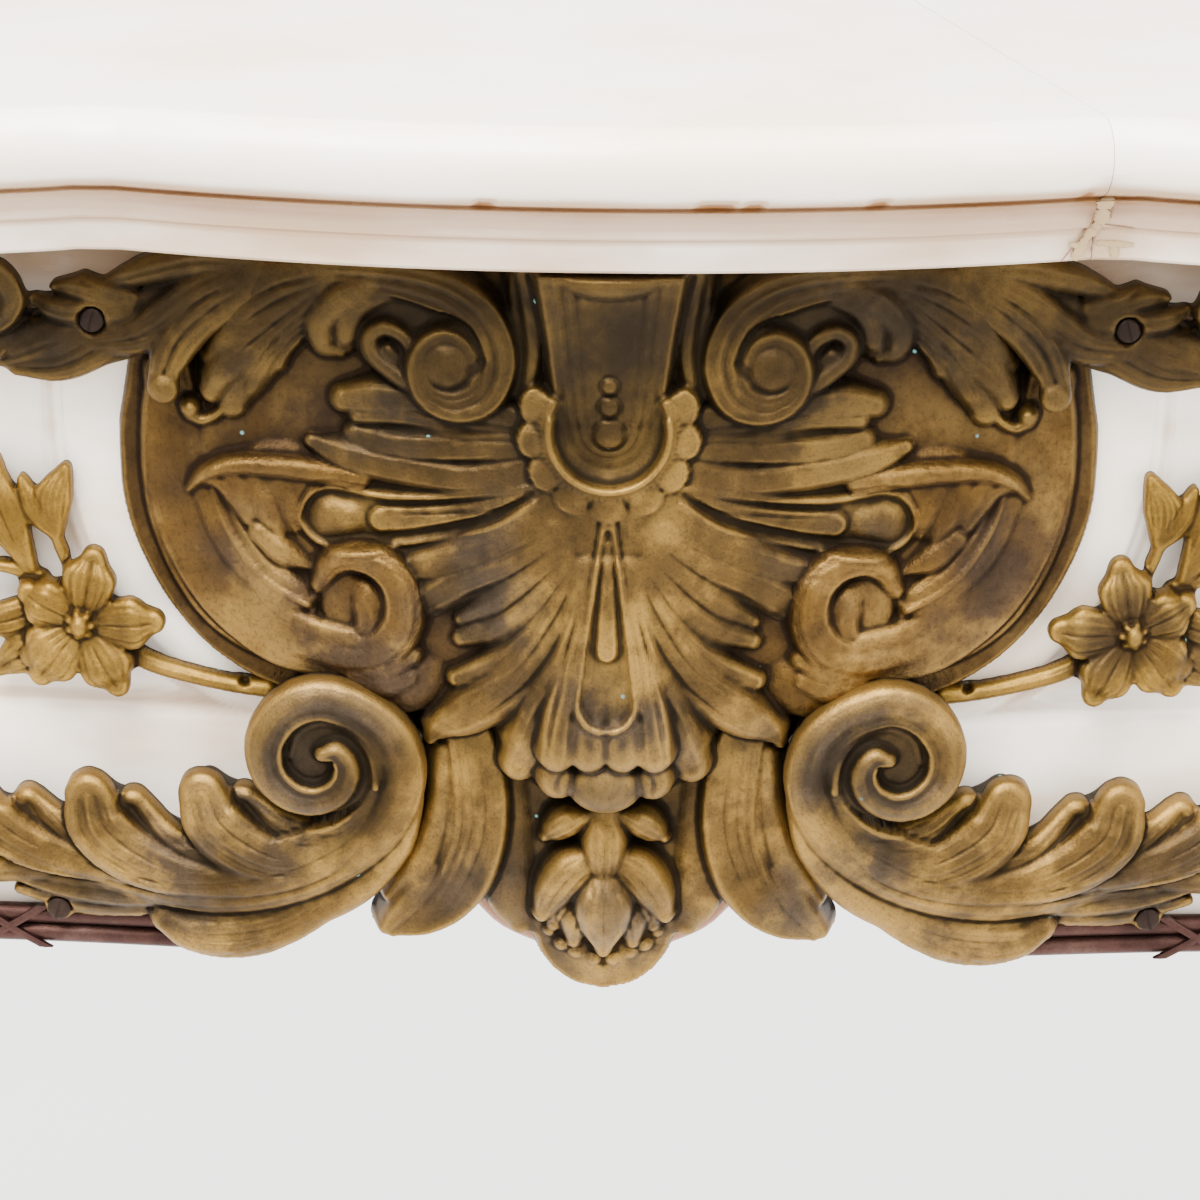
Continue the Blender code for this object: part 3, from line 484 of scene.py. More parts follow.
def shell_back(relief, cells, thick, reach):
    """The back of a thin casting: on the stone inside, and close behind the leaves at their free edges."""
    share = blurred(cells.astype(float), reach / relief.cell)
    share = np.pad(share, ((0, 1), (0, 1)), mode="edge")
    rise = ease(0.98 - share, 0.0, 0.36)
    seat = relief.stone + SEAT_GAP
    return seat + rise * np.maximum(0, relief.height - thick - seat)


def relief_object(name, relief, owner=None, flip=False, floor=1.2, thick=None):
    """A closed mesh of a relief: its face, its sides, and a back that is flat or follows the face."""
    x, z = relief.grid()
    cells = solid_cells(relief, owner, floor)
    numbers = np.arange(x.size).reshape(x.shape)
    rows, columns = np.nonzero(cells)
    quads = np.stack([numbers[rows, columns], numbers[rows, columns + 1], numbers[rows + 1, columns + 1],
                      numbers[rows + 1, columns]], axis=1)
    used, quads = np.unique(quads, return_inverse=True)
    quads = quads.reshape(-1, 4)
    fx, fz = x.ravel()[used], z.ravel()[used]
    kept = ("height", "fine", "broad", "along", "across")
    fields = {key: getattr(relief, key).ravel()[used] for key in kept}
    flow = np.stack([fields["along"], fields["across"]], axis=1) / 10
    rings = [np.array(ring) for ring in boundary_rings(quads)]
    if relief.free:
        eased_rims(rings, (fx, fz, fields["height"]), FREE_RIM_PASSES)
    else:
        eased_rims(rings, (fx, fz))
    front = place(fx, fz, fields["height"])
    loops = [quads.ravel()]
    counts = [np.full(len(quads), 4)]
    if thick is None:
        rim = np.concatenate(rings)
        behind = place(fx[rim], fz[rim], relief.stone.ravel()[used][rim] + SEAT_GAP)
        starts = np.cumsum([len(fx)] + [len(ring) for ring in rings])
        lows = [start + np.arange(len(ring)) for start, ring in zip(starts, rings)]
        caps = np.array(cap_faces([[(fx[i], fz[i]) for i in ring] for ring in rings]))[:, ::-1] + len(fx)
        loops.append(caps.ravel())
        counts.append(np.full(len(caps), 3))
    else:
        rim = np.arange(len(fx))
        back = shell_back(relief, cells, thick, 4.5).ravel()[used]
        eased_rims(rings, (back,), FREE_RIM_PASSES)
        behind = place(fx, fz, np.minimum(back, fields["height"] - 1.0))
        lows = [len(fx) + ring for ring in rings]
        loops.append((quads[:, ::-1] + len(fx)).ravel())
        counts.append(np.full(len(quads), 4))
    for ring, low in zip(rings, lows):
        loops.append(np.stack([ring, low, np.roll(low, -1), np.roll(ring, -1)], axis=1).ravel())
        counts.append(np.full(len(ring), 4))
    loops = np.concatenate(loops)
    counts = np.concatenate(counts)
    vertices = np.concatenate([front, behind])
    # The back and the foot of the sides read as deep hollows, so the bronze paints them dark: painted shade
    # where the casting meets the stone.
    attributes = {
        "fine": np.concatenate([fields["fine"], np.full(len(rim), -1.0)]),
        "broad": np.concatenate([fields["broad"], np.full(len(rim), -3.0)]),
    }
    if flip:
        vertices[:, 0] *= -1
        starts = np.concatenate([[0], np.cumsum(counts)[:-1]])
        order = np.repeat(2 * starts + counts - 1, counts) - np.arange(len(loops))
        loops = loops[order]
    obj = fill_mesh(name, vertices, loops, counts, attributes, np.concatenate([flow, flow[rim]]))
    obj.data.set_sharp_from_angle(angle=SMOOTH_ANGLE)
    return obj


def settle(relief):
    """Keeps what the materials read: how far each place stands over its close and its wide surroundings."""
    relief.softened()
    relief.stone = stone_face(*relief.grid())
    level = np.maximum(relief.height, relief.stone)
    relief.fine = level - blurred(level, 1.6 / relief.cell)
    relief.broad = level - blurred(level, 7.0 / relief.cell)


def hand_worked(relief, amount):
    """Slow unevenness of a hand-finished wax model."""
    x, z = relief.grid()
    wave = np.sin(x * 0.31 + 1.7 * np.sin(z * 0.17)) * np.sin(z * 0.37 + 1.3 * np.sin(x * 0.21))
    wave += 0.5 * np.sin(x * 0.83 + z * 0.41 + 2.0 * np.sin(z * 0.29))
    relief.height = np.where(relief.height > NOTHING / 2, relief.height + amount * wave, relief.height)


GROUND, SHELL, SCROLLS, DROP = 1, 2, 3, 4

CARTOUCHE_EDGE = [
    (0, 149), (-120, 149), (-186, 108), (-190, 84), (-192.5, 70), (-193, 55), (-192, 38), (-188, 22),
    (-180, 4), (-171, -10), (-160, -22), (-146, -32), (-130, -39), (-112, -43), (-84, -50), (-66, -62),
    (-56, -84), (-50, -110), (-47, -126), (-43, -134), (-36, -141), (-29, -142), (-26, -150), (-20, -158),
    (-11, -164), (0, -166.5),
]


def cartouche_outline():
    """The cartouche's left half as a fine closed outline that runs a little past the middle."""
    lower = [tuple(point) for point in smooth_path(CARTOUCHE_EDGE[2:], 140)]
    return [(8, 149), (0, 149), (-120, 149)] + lower + [(8, -164)]


def depth_in_cartouche(x, z):
    """Distance in from the cartouche's lower edge, as if it ran on past the shelf."""
    return depth_inside([(8, 230), (-120, 230)] + cartouche_outline()[3:], x, z)


def cartouche_ground(r):
    """The cartouche's back plate, the swell under the shell, the rim and the C-shaped band."""
    r.fill(cartouche_outline(), 8.5, owner=GROUND)
    x, z = r.grid()
    inside = depth_in_cartouche(x, z)
    swell = 9 + 10 * ease(inside, 22, 36) * ease(z, -70, -30)
    swell += 17 * np.exp(-((x / 92) ** 2) - ((z - 25) / 92) ** 2) * ease(inside, 18, 44)
    r.lay(EVERYWHERE, np.where(inside > 5, swell, NOTHING), 0.6, GROUND)
    rim = [(-171, 108), (-177, 96), (-181, 82), (-182.5, 66), (-182.5, 50), (-180, 32), (-173, 12),
           (-163, -5), (-151, -16), (-137, -23), (-122, -26), (-108, -27)]
    r.stroke(rim, [2.0] * 12, [14.5] * 12, 3, domed, 1.6, GROUND)
    band = [(-172, 92), (-170, 74), (-169, 56), (-166, 38), (-159, 22), (-150, 8), (-139, -3), (-127, -11),
            (-115, -14), (-102, -14)]
    r.stroke(band, [10, 11.5, 12.5, 14, 15, 15, 14.5, 13.5, 12, 10],
             [16, 17, 18.5, 20, 21.5, 23, 25, 27, 29.5, 32], 5.4,
             banded((-1, 0.3), (-0.8, 0.36), (-0.3, 0.46), (0.2, 0.66), (0.66, 0.96), (0.8, 1.0),
                    (0.88, 0.8), (1, 0.6)), 1.0, GROUND)
    r.stroke([(-157, 50), (-149, 31), (-138, 17), (-124, 7)], [7, 8, 8, 7], [20.5, 23, 25, 27], 2, domed,
             1.6, GROUND)
    r.dome(-128, 50, 24, 19, 21, 5, 2.0, 2.0, GROUND)
    r.stroke([(-156, 54), (-153, 40), (-147, 28), (-139, 17), (-129, 9), (-118, 4)], [1.8] * 6,
             [21.5, 23, 25, 26, 27.5, 29], 2.4, domed, 1.0, GROUND)
    r.stroke([(-150, 50), (-147, 38), (-141, 28), (-132, 17), (-122, 10)], [1.3] * 5,
             [21.5, 23, 24.5, 26, 27], 1.8, domed, 0.8, GROUND)
    small_volute(r)
    tip_leaf(r)
    r.dome(-84, -26, 24, 16, 22, 8, 2.4, 2.0, GROUND)
    for path in ([(-100, -24), (-88, -20), (-77, -15)], [(-100, -28), (-88, -27), (-78, -24)]):
        r.leaf(path, [4, 6.4, 4.6], [31, 34, 32], 3.4, 1, 0.14, 1.0, GROUND)


def small_volute(r):
    """The C band's lower end, rolled up round a leaf."""
    roll = [(-140, -4), (-126, -12), (-111, -16.5), (-97, -16.5), (-86, -11), (-79, 1), (-80, 15), (-88, 24),
            (-99, 26.5), (-108, 22), (-114, 12)]
    r.stroke(roll, [9, 9.6, 10, 9.6, 9, 8.4, 7.8, 7, 6.2, 5.2, 3.4],
             [21, 25, 29.5, 34, 37, 38.5, 38.5, 37.5, 36, 33, 29], 9,
             banded((-1, 0.0), (-0.7, 0.66), (-0.2, 0.98), (0.2, 0.97), (0.62, 0.78), (0.86, 0.8), (1, 0.5)),
             2.0, GROUND)
    r.dome(-100, 5, 13, 15, 24, 5, 2.0, 2.0, GROUND)
    tongue = [(-102, 15), (-95, 10), (-92, 1), (-95, -8), (-103, -16), (-111, -20)]
    r.stroke(tongue, [4, 7.4, 8, 7.4, 5.6, 3], [27, 33, 34, 32, 28, 22], 6, fluted(3, 0.12), 0.6, GROUND)
    r.stroke([(-113, 10), (-117, 4), (-115, -3)], [2.2, 2.8, 1.8], [24, 26, 24], 3, owner=GROUND)
    r.stroke([(-120, -22), (-106, -26), (-93, -25)], [3.4, 3.8, 2.4], [19, 21, 19], 3, owner=GROUND)


def tip_leaf(r):
    """The curled leaf at the C band's upper end, and the small lobes down its inner side."""
    r.stroke([(-96, 57), (-116, 59), (-134, 60), (-148, 59), (-158, 54.5), (-165, 47)],
             [4.4, 4.6, 4.2, 3.6, 2.6, 1.0], [31, 30.5, 30, 29, 27.5, 22], 3.4, domed, 1.4, GROUND)
    r.stroke([(-165, 47), (-161, 52), (-152, 52), (-146, 46), (-141, 37)], [0.8, 1.8, 3.0, 3.8, 3],
             [20, 24, 26.5, 26.5, 25], 2.6, owner=GROUND)
    lobes = (
        ([(-149, 58), (-143, 48), (-139, 39)], [5, 5.4, 2]),
        ([(-139, 54), (-133, 42), (-128, 30)], [5.4, 5.8, 2]),
        ([(-137, 32), (-127, 24), (-117, 19)], [4.4, 5.4, 2]),
        ([(-128, 52), (-124, 42), (-122, 34)], [4.6, 5, 2]),
    )
    for path, widths in lobes:
        r.stroke(path, widths, [26.5, 27.5, 25], 3, fluted(1, 0.1), 1.0, GROUND)


# The shell's lobes on its left side, from the top down: path, half widths, heights and folds.
SHELL_LOBES = [
    ([(-26, 84), (-46, 86), (-68, 88), (-88, 90), (-102, 88)], [6, 7, 7, 7, 5.4], [43, 40, 37, 34, 30], 2),
    ([(-30, 80), (-54, 80), (-78, 83), (-97, 82)], [5, 4.4, 4, 3], [41, 37, 34, 31], 1),
    ([(-26, 76), (-48, 74), (-66, 72), (-83, 71), (-98, 74)], [6, 7, 7.4, 7, 5], [44, 40, 37, 34, 29], 2),
    ([(-24, 70), (-50, 61), (-72, 61.5), (-92, 64), (-106, 67), (-115, 70)], [6, 6.5, 6.6, 6.4, 5.6, 3.4],
     [45, 40, 36, 33, 30, 26], 2),
    ([(-22, 48), (-42, 35), (-62, 26), (-76, 22), (-86, 24)], [8, 8.5, 7.5, 5.6, 3.4],
     [46, 41, 36, 33, 29], 2),
    ([(-20, 42), (-38, 28), (-55, 20), (-68, 11), (-74, 4)], [8, 8, 8.6, 8, 5.6], [48, 43, 38, 35, 30], 2),
    ([(-18, 36), (-34, 19), (-46, 9), (-57, 2)], [7, 6.5, 5.6, 3.4], [48, 43, 38, 33], 1),
    ([(-16, 30), (-30, 12), (-43, 0), (-57, -6)], [7, 6.8, 6, 3.6], [48, 43, 39, 34], 1),
    ([(-14, 26), (-26, 3), (-41, -14), (-59, -23)], [7, 6.8, 6.4, 3.6], [48, 44, 40, 34], 2),
    ([(-12, 22), (-23, -3), (-37, -23), (-55, -37), (-66, -44), (-70, -52)], [7, 8.4, 9.4, 8, 4.8, 1.6],
     [48, 46, 43, 39, 35, 28], 2),
    ([(-10, 18), (-18, -8), (-27, -24), (-38, -36)], [6, 6, 5, 2.4], [48, 45, 40, 34], 1),
    ([(-9, 18), (-15, -5), (-22, -26), (-29, -45), (-34, -57)], [6, 7, 8.4, 9, 7], [49, 49, 48, 45, 39], 2),
]


def shell(r):
    """The scallop shell: a smooth swelling body that divides into lobes, with channels and a rolled lip."""
    r.dome(0, 50, 70, 58, 14, 33, 2.6, 2.4, SHELL)
    r.dome(0, 34, 26, 30, 40, 6, 2.0, 2.4, SHELL)
    r.stroke([(-20, 66), (-46, 50), (-66, 45), (-88, 41), (-106, 40)], [12, 13, 14, 15, 14.5],
             [46, 38.5, 34, 31.5, 29.5], 6, domed, 2.0, SHELL)
    for path, widths, tops, folds in SHELL_LOBES:
        r.leaf(path, widths, tops, 3.6, folds, 0.2, 1.0, SHELL)
    for x in (-19, -6.5, 6.5, 19):
        r.leaf([(x * 0.4, 28), (x * 0.62, -4), (x * 0.84, -28), (x, -45.5)], [6.5, 7, 7.4, 7],
               [49, 52, 55, 57.5], 3, 2, 0.16, 1.6, SHELL)
    for above, below in zip(SHELL_LOBES, SHELL_LOBES[1:]):
        between = 0.5 * (smooth_path(above[0], 6) + smooth_path(below[0], 6))
        r.carve([tuple(spot) for spot in between[:5]], 0.9, 1.2)
    for path, widths, _, folds in SHELL_LOBES:
        r.striped(path, widths, [-0.35, 0.3] if folds > 1 else [0.0], 0.7, 0.5)
    side_channel(r)
    centre_channel(r)
    shell_lip(r)


def flat_cut(t, share):
    """A level floor with steep sides."""
    return 1 - np.abs(t) ** 7


def side_channel(r):
    """The long channel across each side, with its pit and inner tongue."""
    wall = [(-27, 61), (-41, 56), (-60, 52), (-88, 50.5), (-106, 52.5), (-116, 48.5), (-120, 42), (-119, 35),
            (-113, 29.5), (-104, 28), (-88, 30.5), (-65, 35.5), (-45, 43), (-28, 54)]
    middle = [(-30, 58), (-45, 50), (-62, 44), (-84, 40), (-98, 40), (-108, 40.5)]
    r.emboss(middle, [2, 6, 8, 10, 11, 11.4], [-1.0, -3, -4, -4.4, -4.4, -4.4], flat_cut)
    r.emboss(wall, [1.7] * 14, [1.3] * 14)
    r.carve([(x - 1.5, z + (3.2 if z > 42 else -3.2)) for x, z in wall[1:-1]], 0.8, 0.9)
    r.emboss([(-33, 57), (-45, 51), (-60, 45.5), (-76, 42), (-88, 40.5)], [1.0, 2.6, 4, 5, 5.6],
             [1.6, 2.6, 3.0, 3.0, 3.0],
             banded((-1, 0.0), (-0.8, 0.95), (-0.6, 1.0), (-0.3, 0.82), (0.3, 0.82), (0.6, 1.0), (0.8, 0.95),
                    (1, 0.0)))
    r.emboss([(-102, 39.5), (-109, 40)], [8, 9], [2.2, 2.2], domed)


def centre_channel(r):
    """The channel down the shell's middle, a tongue in it and two fine lines above."""
    r.emboss([(0, 42), (0, 20), (0, 0), (0, -24)], [2.4, 4.6, 8, 10.6], [-1.0, -1.8, -2.6, -3.4], flat_cut)
    turns = [math.pi * k / 8 for k in range(9)]
    foot = [(11.5 * math.cos(turn), -24 - 11.5 * math.sin(turn)) for turn in turns]
    edge = [(1.6, 46), (4.6, 26), (8, 6), (10.6, -12), *foot, (-10.6, -12), (-8, 6), (-4.6, 26), (-1.6, 46)]
    r.emboss(edge, [1.4] * len(edge), [1.2] * len(edge))
    outer = [(px * 1.28, pz - 1.5) for px, pz in edge[1:-1]]
    r.carve(outer, 0.9, 0.8)
    r.emboss([(0, 38), (0, 20), (0, -4)], [1.4, 3.0, 4.6], [1.6, 2.4, 3.0],
             banded((-1, 0.0), (-0.75, 1.0), (-0.3, 0.78), (0.3, 0.78), (0.75, 1.0), (1, 0.0)))
    for side in (-1, 1):
        r.carve([(side * 2.4, 56), (side * 3.4, 48), (side * 5.4, 34), (side * 8.6, 16)], 0.8, 1.2)
    for x in (-25, -16, 16, 25):
        r.carve([(x * 0.4, 20), (x * 0.66, -10), (x * 0.84, -32), (x * 0.96, -52)], 1.0, 1.6)


def shell_lip(r):
    """The shell's bottom edge, which rolls forward and under in three parts."""
    for side in (-1, 1):
        r.dome(side * 18.5, -59, 9, 9.5, 40, 10, 2.4, 0.6, SHELL)
    r.dome(0, -61, 16, 13, 40, 14, 2.4, 0.5, SHELL)
    for side in (-1, 1):
        r.carve([(side * 16, -53), (side * 19, -59), (side * 18, -68)], 0.9, 1.4)


def bowl_and_stem(r):
    """The bowl at the shell's root, its scaled collar and the ribbed stem that drops into it."""
    middle_z, radius = 84.0, 23.0
    x, z = r.grid()
    reach = np.hypot(x, (z - middle_z) * 0.96)
    angle = np.arctan2(x, middle_z - z)
    scale_turn = np.abs(((angle / math.radians(27)) + 0.5) % 1 - 0.5) * 2
    scale_edge = 35.5 - 3.6 * scale_turn**2.4
    low_half = np.abs(angle) < math.radians(121.5)
    scales = 47.5 + 1.8 * (1 - scale_turn**2) - 0.10 * (reach - 27)
    scales = np.where((reach < scale_edge) & low_half, scales, NOTHING)
    r.lay(EVERYWHERE, scales, 0.2, SHELL)
    pleats = 0.45 * np.cos(angle * 74) * ease(reach, 24, 25) * (1 - ease(reach, 27.5, 28.5))
    collar = 51 - 3.4 * ease(reach, 23.5, 29) + pleats
    r.lay(EVERYWHERE, np.where((reach < 29) & low_half, collar, NOTHING), 0.3, SHELL)
    bowl = 40.5 + 10 * (np.minimum(reach, radius) / radius) ** 2.4
    hollow = (reach < radius - 0.6) & (z < 116)
    r.height = np.where(hollow, np.minimum(r.height, bowl), r.height)
    arc = [(-radius * math.cos(math.pi * k / 16), middle_z - 1.02 * radius * math.sin(math.pi * k / 16))
           for k in range(-1, 18)]
    r.stroke(arc, [1.7] * len(arc), [53] * len(arc), 2.2, domed, 0.4, SHELL)

    def ribs(t, share):
        away = np.abs(t)
        grooves = 0.14 * ease(away, 0.22, 0.42) * (0.5 - 0.5 * np.cos(t * 34))
        return 1 - 0.42 * away**2.6 - grooves - 0.5 * ease(away, 0.95, 1.0)

    for side in (-1, 1):
        r.stroke([(side * 31, 152), (side * 31, 124), (side * 31, 98)], [7, 7, 6], [42, 42, 42], 2, domed,
                 2.0, SCROLLS)
    r.dome(0, 112, 34, 24, 34, 10, 2.0, 1.0, SHELL)
    r.stroke([(0, 153), (0, 138), (0, 122), (0, 106), (0, 95), (0, 88), (0, 84)],
             [30, 27.5, 25, 23, 21.5, 20, 18.5], [67, 61, 56, 52, 49.5, 48, 46.5], 7.5, ribs, 2.2, SHELL)
    for turn in range(-3, 4):
        angle = math.radians(27 * turn + 13.5)
        r.carve([(s * math.sin(angle), middle_z - s * math.cos(angle)) for s in (29.5, 31, 33)], 0.8, 1.2)
    for z_bead, size in ((102, 4.0), (93.5, 4.8), (82, 6.6)):
        r.emboss([(0, z_bead - 0.1), (0, z_bead + 0.1)], [size, size], [1.9, 1.9], domed)
        turns = [k * math.pi / 8 for k in range(17)]
        ring = [(size * math.sin(turn), z_bead - size * math.cos(turn)) for turn in turns]
        r.emboss(ring, [0.9] * len(ring), [-0.9] * len(ring))
    r.dome(0, 144, 18, 6.5, 60, 6, 2.0, 0.8, SHELL)


def acanthus(r):
    """The large leaf that flows down from the upper scroll."""
    r.stroke([(-108, 139), (-123, 131), (-133, 119), (-140, 105), (-144, 93), (-146, 83)],
             [12, 16, 17, 14.5, 11, 6], [31, 32, 31.5, 30, 27.5, 24], 5, fluted(3, 0.1), 1.6, SCROLLS)
    edges = (
        ([(-128, 134), (-138, 129), (-147, 124)], [6, 5.4, 3]),
        ([(-132, 126), (-143, 118), (-150, 112)], [6, 5.4, 3]),
        ([(-136, 117), (-146, 109), (-153, 102)], [6, 5.4, 3]),
        ([(-140, 106), (-149, 97), (-154, 88)], [5.4, 5, 3]),
        ([(-124, 128), (-126, 115), (-128, 101)], [6, 5.4, 2.8]),
        ([(-132, 116), (-135, 103), (-139, 91)], [5, 5, 2.8]),
    )
    for path, widths in edges:
        r.stroke(path, [1.3 * w for w in widths], [31.6, 30.6, 27], 3.4, fluted(1, 0.1), 0.7, SCROLLS)
    for line in ([(-112, 137), (-126, 133), (-139, 126)], [(-112, 134), (-128, 126), (-144, 115)],
                 [(-112, 131), (-130, 116), (-148, 101)], [(-110, 128), (-130, 108), (-143, 88)],
                 [(-108, 126), (-127, 108), (-138, 92)], [(-106, 124), (-122, 110), (-131, 98)]):
        r.carve(line, 1.0, 1.5)
    r.stroke([(-148, 86), (-152, 79), (-158, 76), (-163, 78)], [1.8, 2.0, 2.2, 2.6], [23, 23, 23, 23.5], 2.4,
             domed, 0.6, SCROLLS)
    r.dome(-163, 80.5, 3.8, 3.8, 21, 4, 2.0, 0.3, SCROLLS)
    r.stroke([(-146, 131), (-138, 136), (-126, 138)], [6, 7, 7], [28, 30, 31], 3.4, fluted(1, 0.1), 1.2,
             SCROLLS)
    for path in ([(-92, 134), (-103, 128), (-110.5, 119), (-109, 110), (-103, 106)],
                 [(-81, 133), (-92, 129), (-99, 122), (-101, 112), (-100, 108)]):
        r.leaf(path, [5.4, 6, 6, 4.6, 2], [34, 34, 33, 31, 27], 3.4, 1, 0.14, 0.8, SCROLLS)


def scrollwork(r):
    """The upper C-scroll, with the looped hook beside its eye."""
    r.dome(-52, 112, 36, 36, 20, 17, 4.0, 2.0, SCROLLS)
    acanthus(r)
    r.dome(-60, 106, 17, 17, 38, 4.6, 4.0, 1.0, SCROLLS)
    main = [(-124, 138), (-100, 138.5), (-79, 138), (-61, 134), (-48, 124.5), (-42.5, 109), (-47, 95),
            (-58, 90), (-69, 94), (-73.5, 104), (-71, 113), (-64, 118), (-56, 116), (-52, 110)]
    widths = [5, 6.5, 8, 9.6, 10, 9.6, 8.2, 6.6, 5, 4, 3.6, 3.2, 3, 2.4]
    tops = [28, 33, 38, 42, 45, 46, 46, 46, 45.5, 45, 44.6, 44.4, 44.4, 44.4]
    r.stroke(main, widths, tops, 6.5,
             banded((-1, 0.5), (-0.84, 0.74), (-0.66, 0.6), (-0.36, 0.82), (-0.1, 0.7), (0.18, 1.0),
                    (0.4, 0.84), (0.66, 0.9), (1, 0.0)), 0.8, SCROLLS)
    r.dome(-61.5, 106.5, 9, 9, 41.5, 4, 3.0, 0.4, SCROLLS)
    r.stroke([(-74, 97), (-82, 102), (-89.5, 108), (-91, 114.5), (-85.5, 118.5), (-78, 116), (-74, 110)],
             [3.2, 3.8, 3.8, 3.6, 3.4, 3.2, 2.6], [41, 39, 37, 36, 37, 39, 41], 3, domed, 0.8, SCROLLS)
    r.stroke([(-80, 106), (-84, 110)], [3.2, 3.2], [36, 36], 2.4, owner=SCROLLS)
    r.stroke([(-60, 126), (-75, 127), (-90, 124)], [4.4, 5, 3.4], [34, 34, 31], 3, fluted(1, 0.1), 1.2,
             SCROLLS)
    r.stroke([(-72, 121), (-81, 122.5), (-91, 118)], [3.6, 4, 2.4], [33, 33, 30], 3, owner=SCROLLS)
    r.stroke([(-33, 150), (-30, 132), (-28.5, 114), (-31, 98)], [4.4, 4, 3.4, 2.4], [45, 46, 45.5, 44], 3,
             domed, 1.2, SCROLLS)


def drop(r):
    """The strap leaves and the pointed drop, with the bud flower hanging on it."""
    r.stroke([(-59, -36), (-53.5, -58), (-51.5, -84), (-55.5, -106), (-63, -121), (-74, -131), (-86, -138)],
             [8, 12, 13, 12.5, 10.5, 7.4, 3], [24, 26, 28, 28, 27, 26, 22], 4.5,
             banded((-1, 0.0), (-0.7, 0.7), (-0.2, 0.86), (0.3, 0.88), (0.8, 1.0), (0.92, 0.84), (1, 0.4)),
             1.0, DROP)
    r.stroke([(-65, -58), (-66, -80), (-71, -99), (-78, -112), (-87, -123)], [4.4, 5.4, 6.4, 6, 3],
             [24, 25, 26, 26, 22], 3.6, fluted(1, 0.1), 1.2, DROP)
    r.stroke([(-70, -110), (-79, -123), (-89, -137)], [6, 6.4, 3.2], [26, 27, 23], 4, fluted(2, 0.14), 0.8,
             DROP)
    for shift in (-8, -4, 0, 5):
        r.carve([(-56 + shift, -50), (-53 + shift, -84), (-58 + shift, -106), (-70 + shift, -127)], 0.9, 0.9)
    r.stroke([(-43, -46), (-40, -78), (-39, -104), (-38, -124), (-34, -136)], [7, 9, 10, 9, 5],
             [21, 21.5, 21, 19, 15], 2.6, domed, 1.2, DROP)
    r.stroke([(-24, -60), (-22, -96), (-24, -120), (-22, -138)], [11, 11, 9, 7], [19, 19, 17, 14], 2, domed,
             2.0, DROP)
    x, z = r.grid()
    border = depth_inside(cartouche_outline(), x, z)
    plate = 12 + 5 * ease(border, 2, 20)
    r.lay(EVERYWHERE, np.where((z < -70) & (x > -47) & (border > 0.5), plate, NOTHING), 1.0, DROP)
    petals = [
        ([(-6, -81), (-14, -84), (-20, -89), (-24, -93)], [3.5, 6, 5.4, 2.4], [31, 34, 31, 26]),
        ([(-12, -114), (-18, -124), (-20, -134)], [5.4, 6.4, 3.4], [25, 26, 20]),
        ([(-7, -120), (-11, -130), (-12, -141)], [5, 6, 3], [27, 28, 22]),
        ([(-5, -100), (-13, -106), (-20, -116), (-25, -127)], [6, 8.4, 7.6, 3.4], [32, 34, 32, 27]),
        ([(0, -80), (0, -90), (0, -100), (0, -111)], [6, 8, 7.4, 3], [33, 37, 36, 31]),
        ([(0, -106), (0, -117), (0, -130), (0, -143)], [6.5, 10.6, 9, 2.6], [32, 38, 35, 27]),
    ]
    for path, widths, tops in petals:
        for side in (1, -1):
            turned = [(side * px, pz) for px, pz in path]
            r.stroke(turned, widths, tops, 5, fluted(2, 0.1), 0.5, DROP)
            r.striped(turned, widths, [-0.5, 0.0, 0.5], 0.8, 0.9)
    berries = ((-17, -144, 3.2), (-11, -147, 3.6), (-4, -150, 3.6), (4, -150, 3.6), (-22, -138, 2.8))
    for px, pz, size in berries:
        r.dome(px, pz, size, size, 14, 4, 2.0, 0.5, DROP)


def tone_cartouche(whole):
    """Moves what the bronze reads: a dark band by the rim, a lighter drop, painted shade on the stem under
    the shelf and a painted highlight on the lip.
    """
    x, z = whole.grid()
    side = np.abs(x)
    inside = depth_in_cartouche(-side, z)
    whole.broad -= 4.5 * (1 - ease(inside, 6, 8)) * ease(side, 112, 124)
    whole.broad += 2.5 * (1 - ease(z, -92, -72)) * (1 - ease(side, 44, 52))
    # Painted shade on the stem, under the shelf.
    whole.broad -= 4.5 * np.exp(-((x / 30) ** 2) - ((z - 112) / 42) ** 2)
    # Painted highlight on the shell's lip.
    whole.fine += 1.1 * np.exp(-((x / 34) ** 2) - ((z + 50) / 13) ** 2)


def build_cartouche():
    """The cartouche as four pieces of one relief, drawn on the left and mirrored."""
    r = Relief(CARTOUCHE_LEFT, CELL * 12, CARTOUCHE_BOTTOM, 153)
    r.x = r.x - r.x[np.argmin(np.abs(r.x))]
    for part in (cartouche_ground, scrollwork, shell, bowl_and_stem, drop):
        part(r)
    hand_worked(r, HAND_WORK)
    r.height[r.z > FRIEZE_TOP - SEAT_GAP, :] = NOTHING
    whole = r.mirrored_whole()
    settle(whole)
    tone_cartouche(whole)
    owners = {
        "cartouche_ground": GROUND,
        "cartouche_shell": SHELL,
        "cartouche_scrollwork": SCROLLS,
        "cartouche_drop": DROP,
    }
    return [relief_object(name, whole, [owner]) for name, owner in owners.items()]


SCREWS = {"upper": (-200, 115, 24), "lower": (-226, -139, 14)}
SEAT_DEPTH = 2.2
SEAT_RADIUS = 5.4
RECESS_RADIUS = 7
FLOWER = (-211, -13)


def leaf_set(r, leaves, lift, depth, blend, spreads, cut):
    """Adds leaves, each as path, half widths, heights and folds, and chases lines along them."""
    for points, wide, high, folds in leaves:
        r.leaf(points, wide, high, lift, folds, depth, blend)
        r.striped(points, wide, spreads if folds > 1 else [0.0], 0.9, cut)


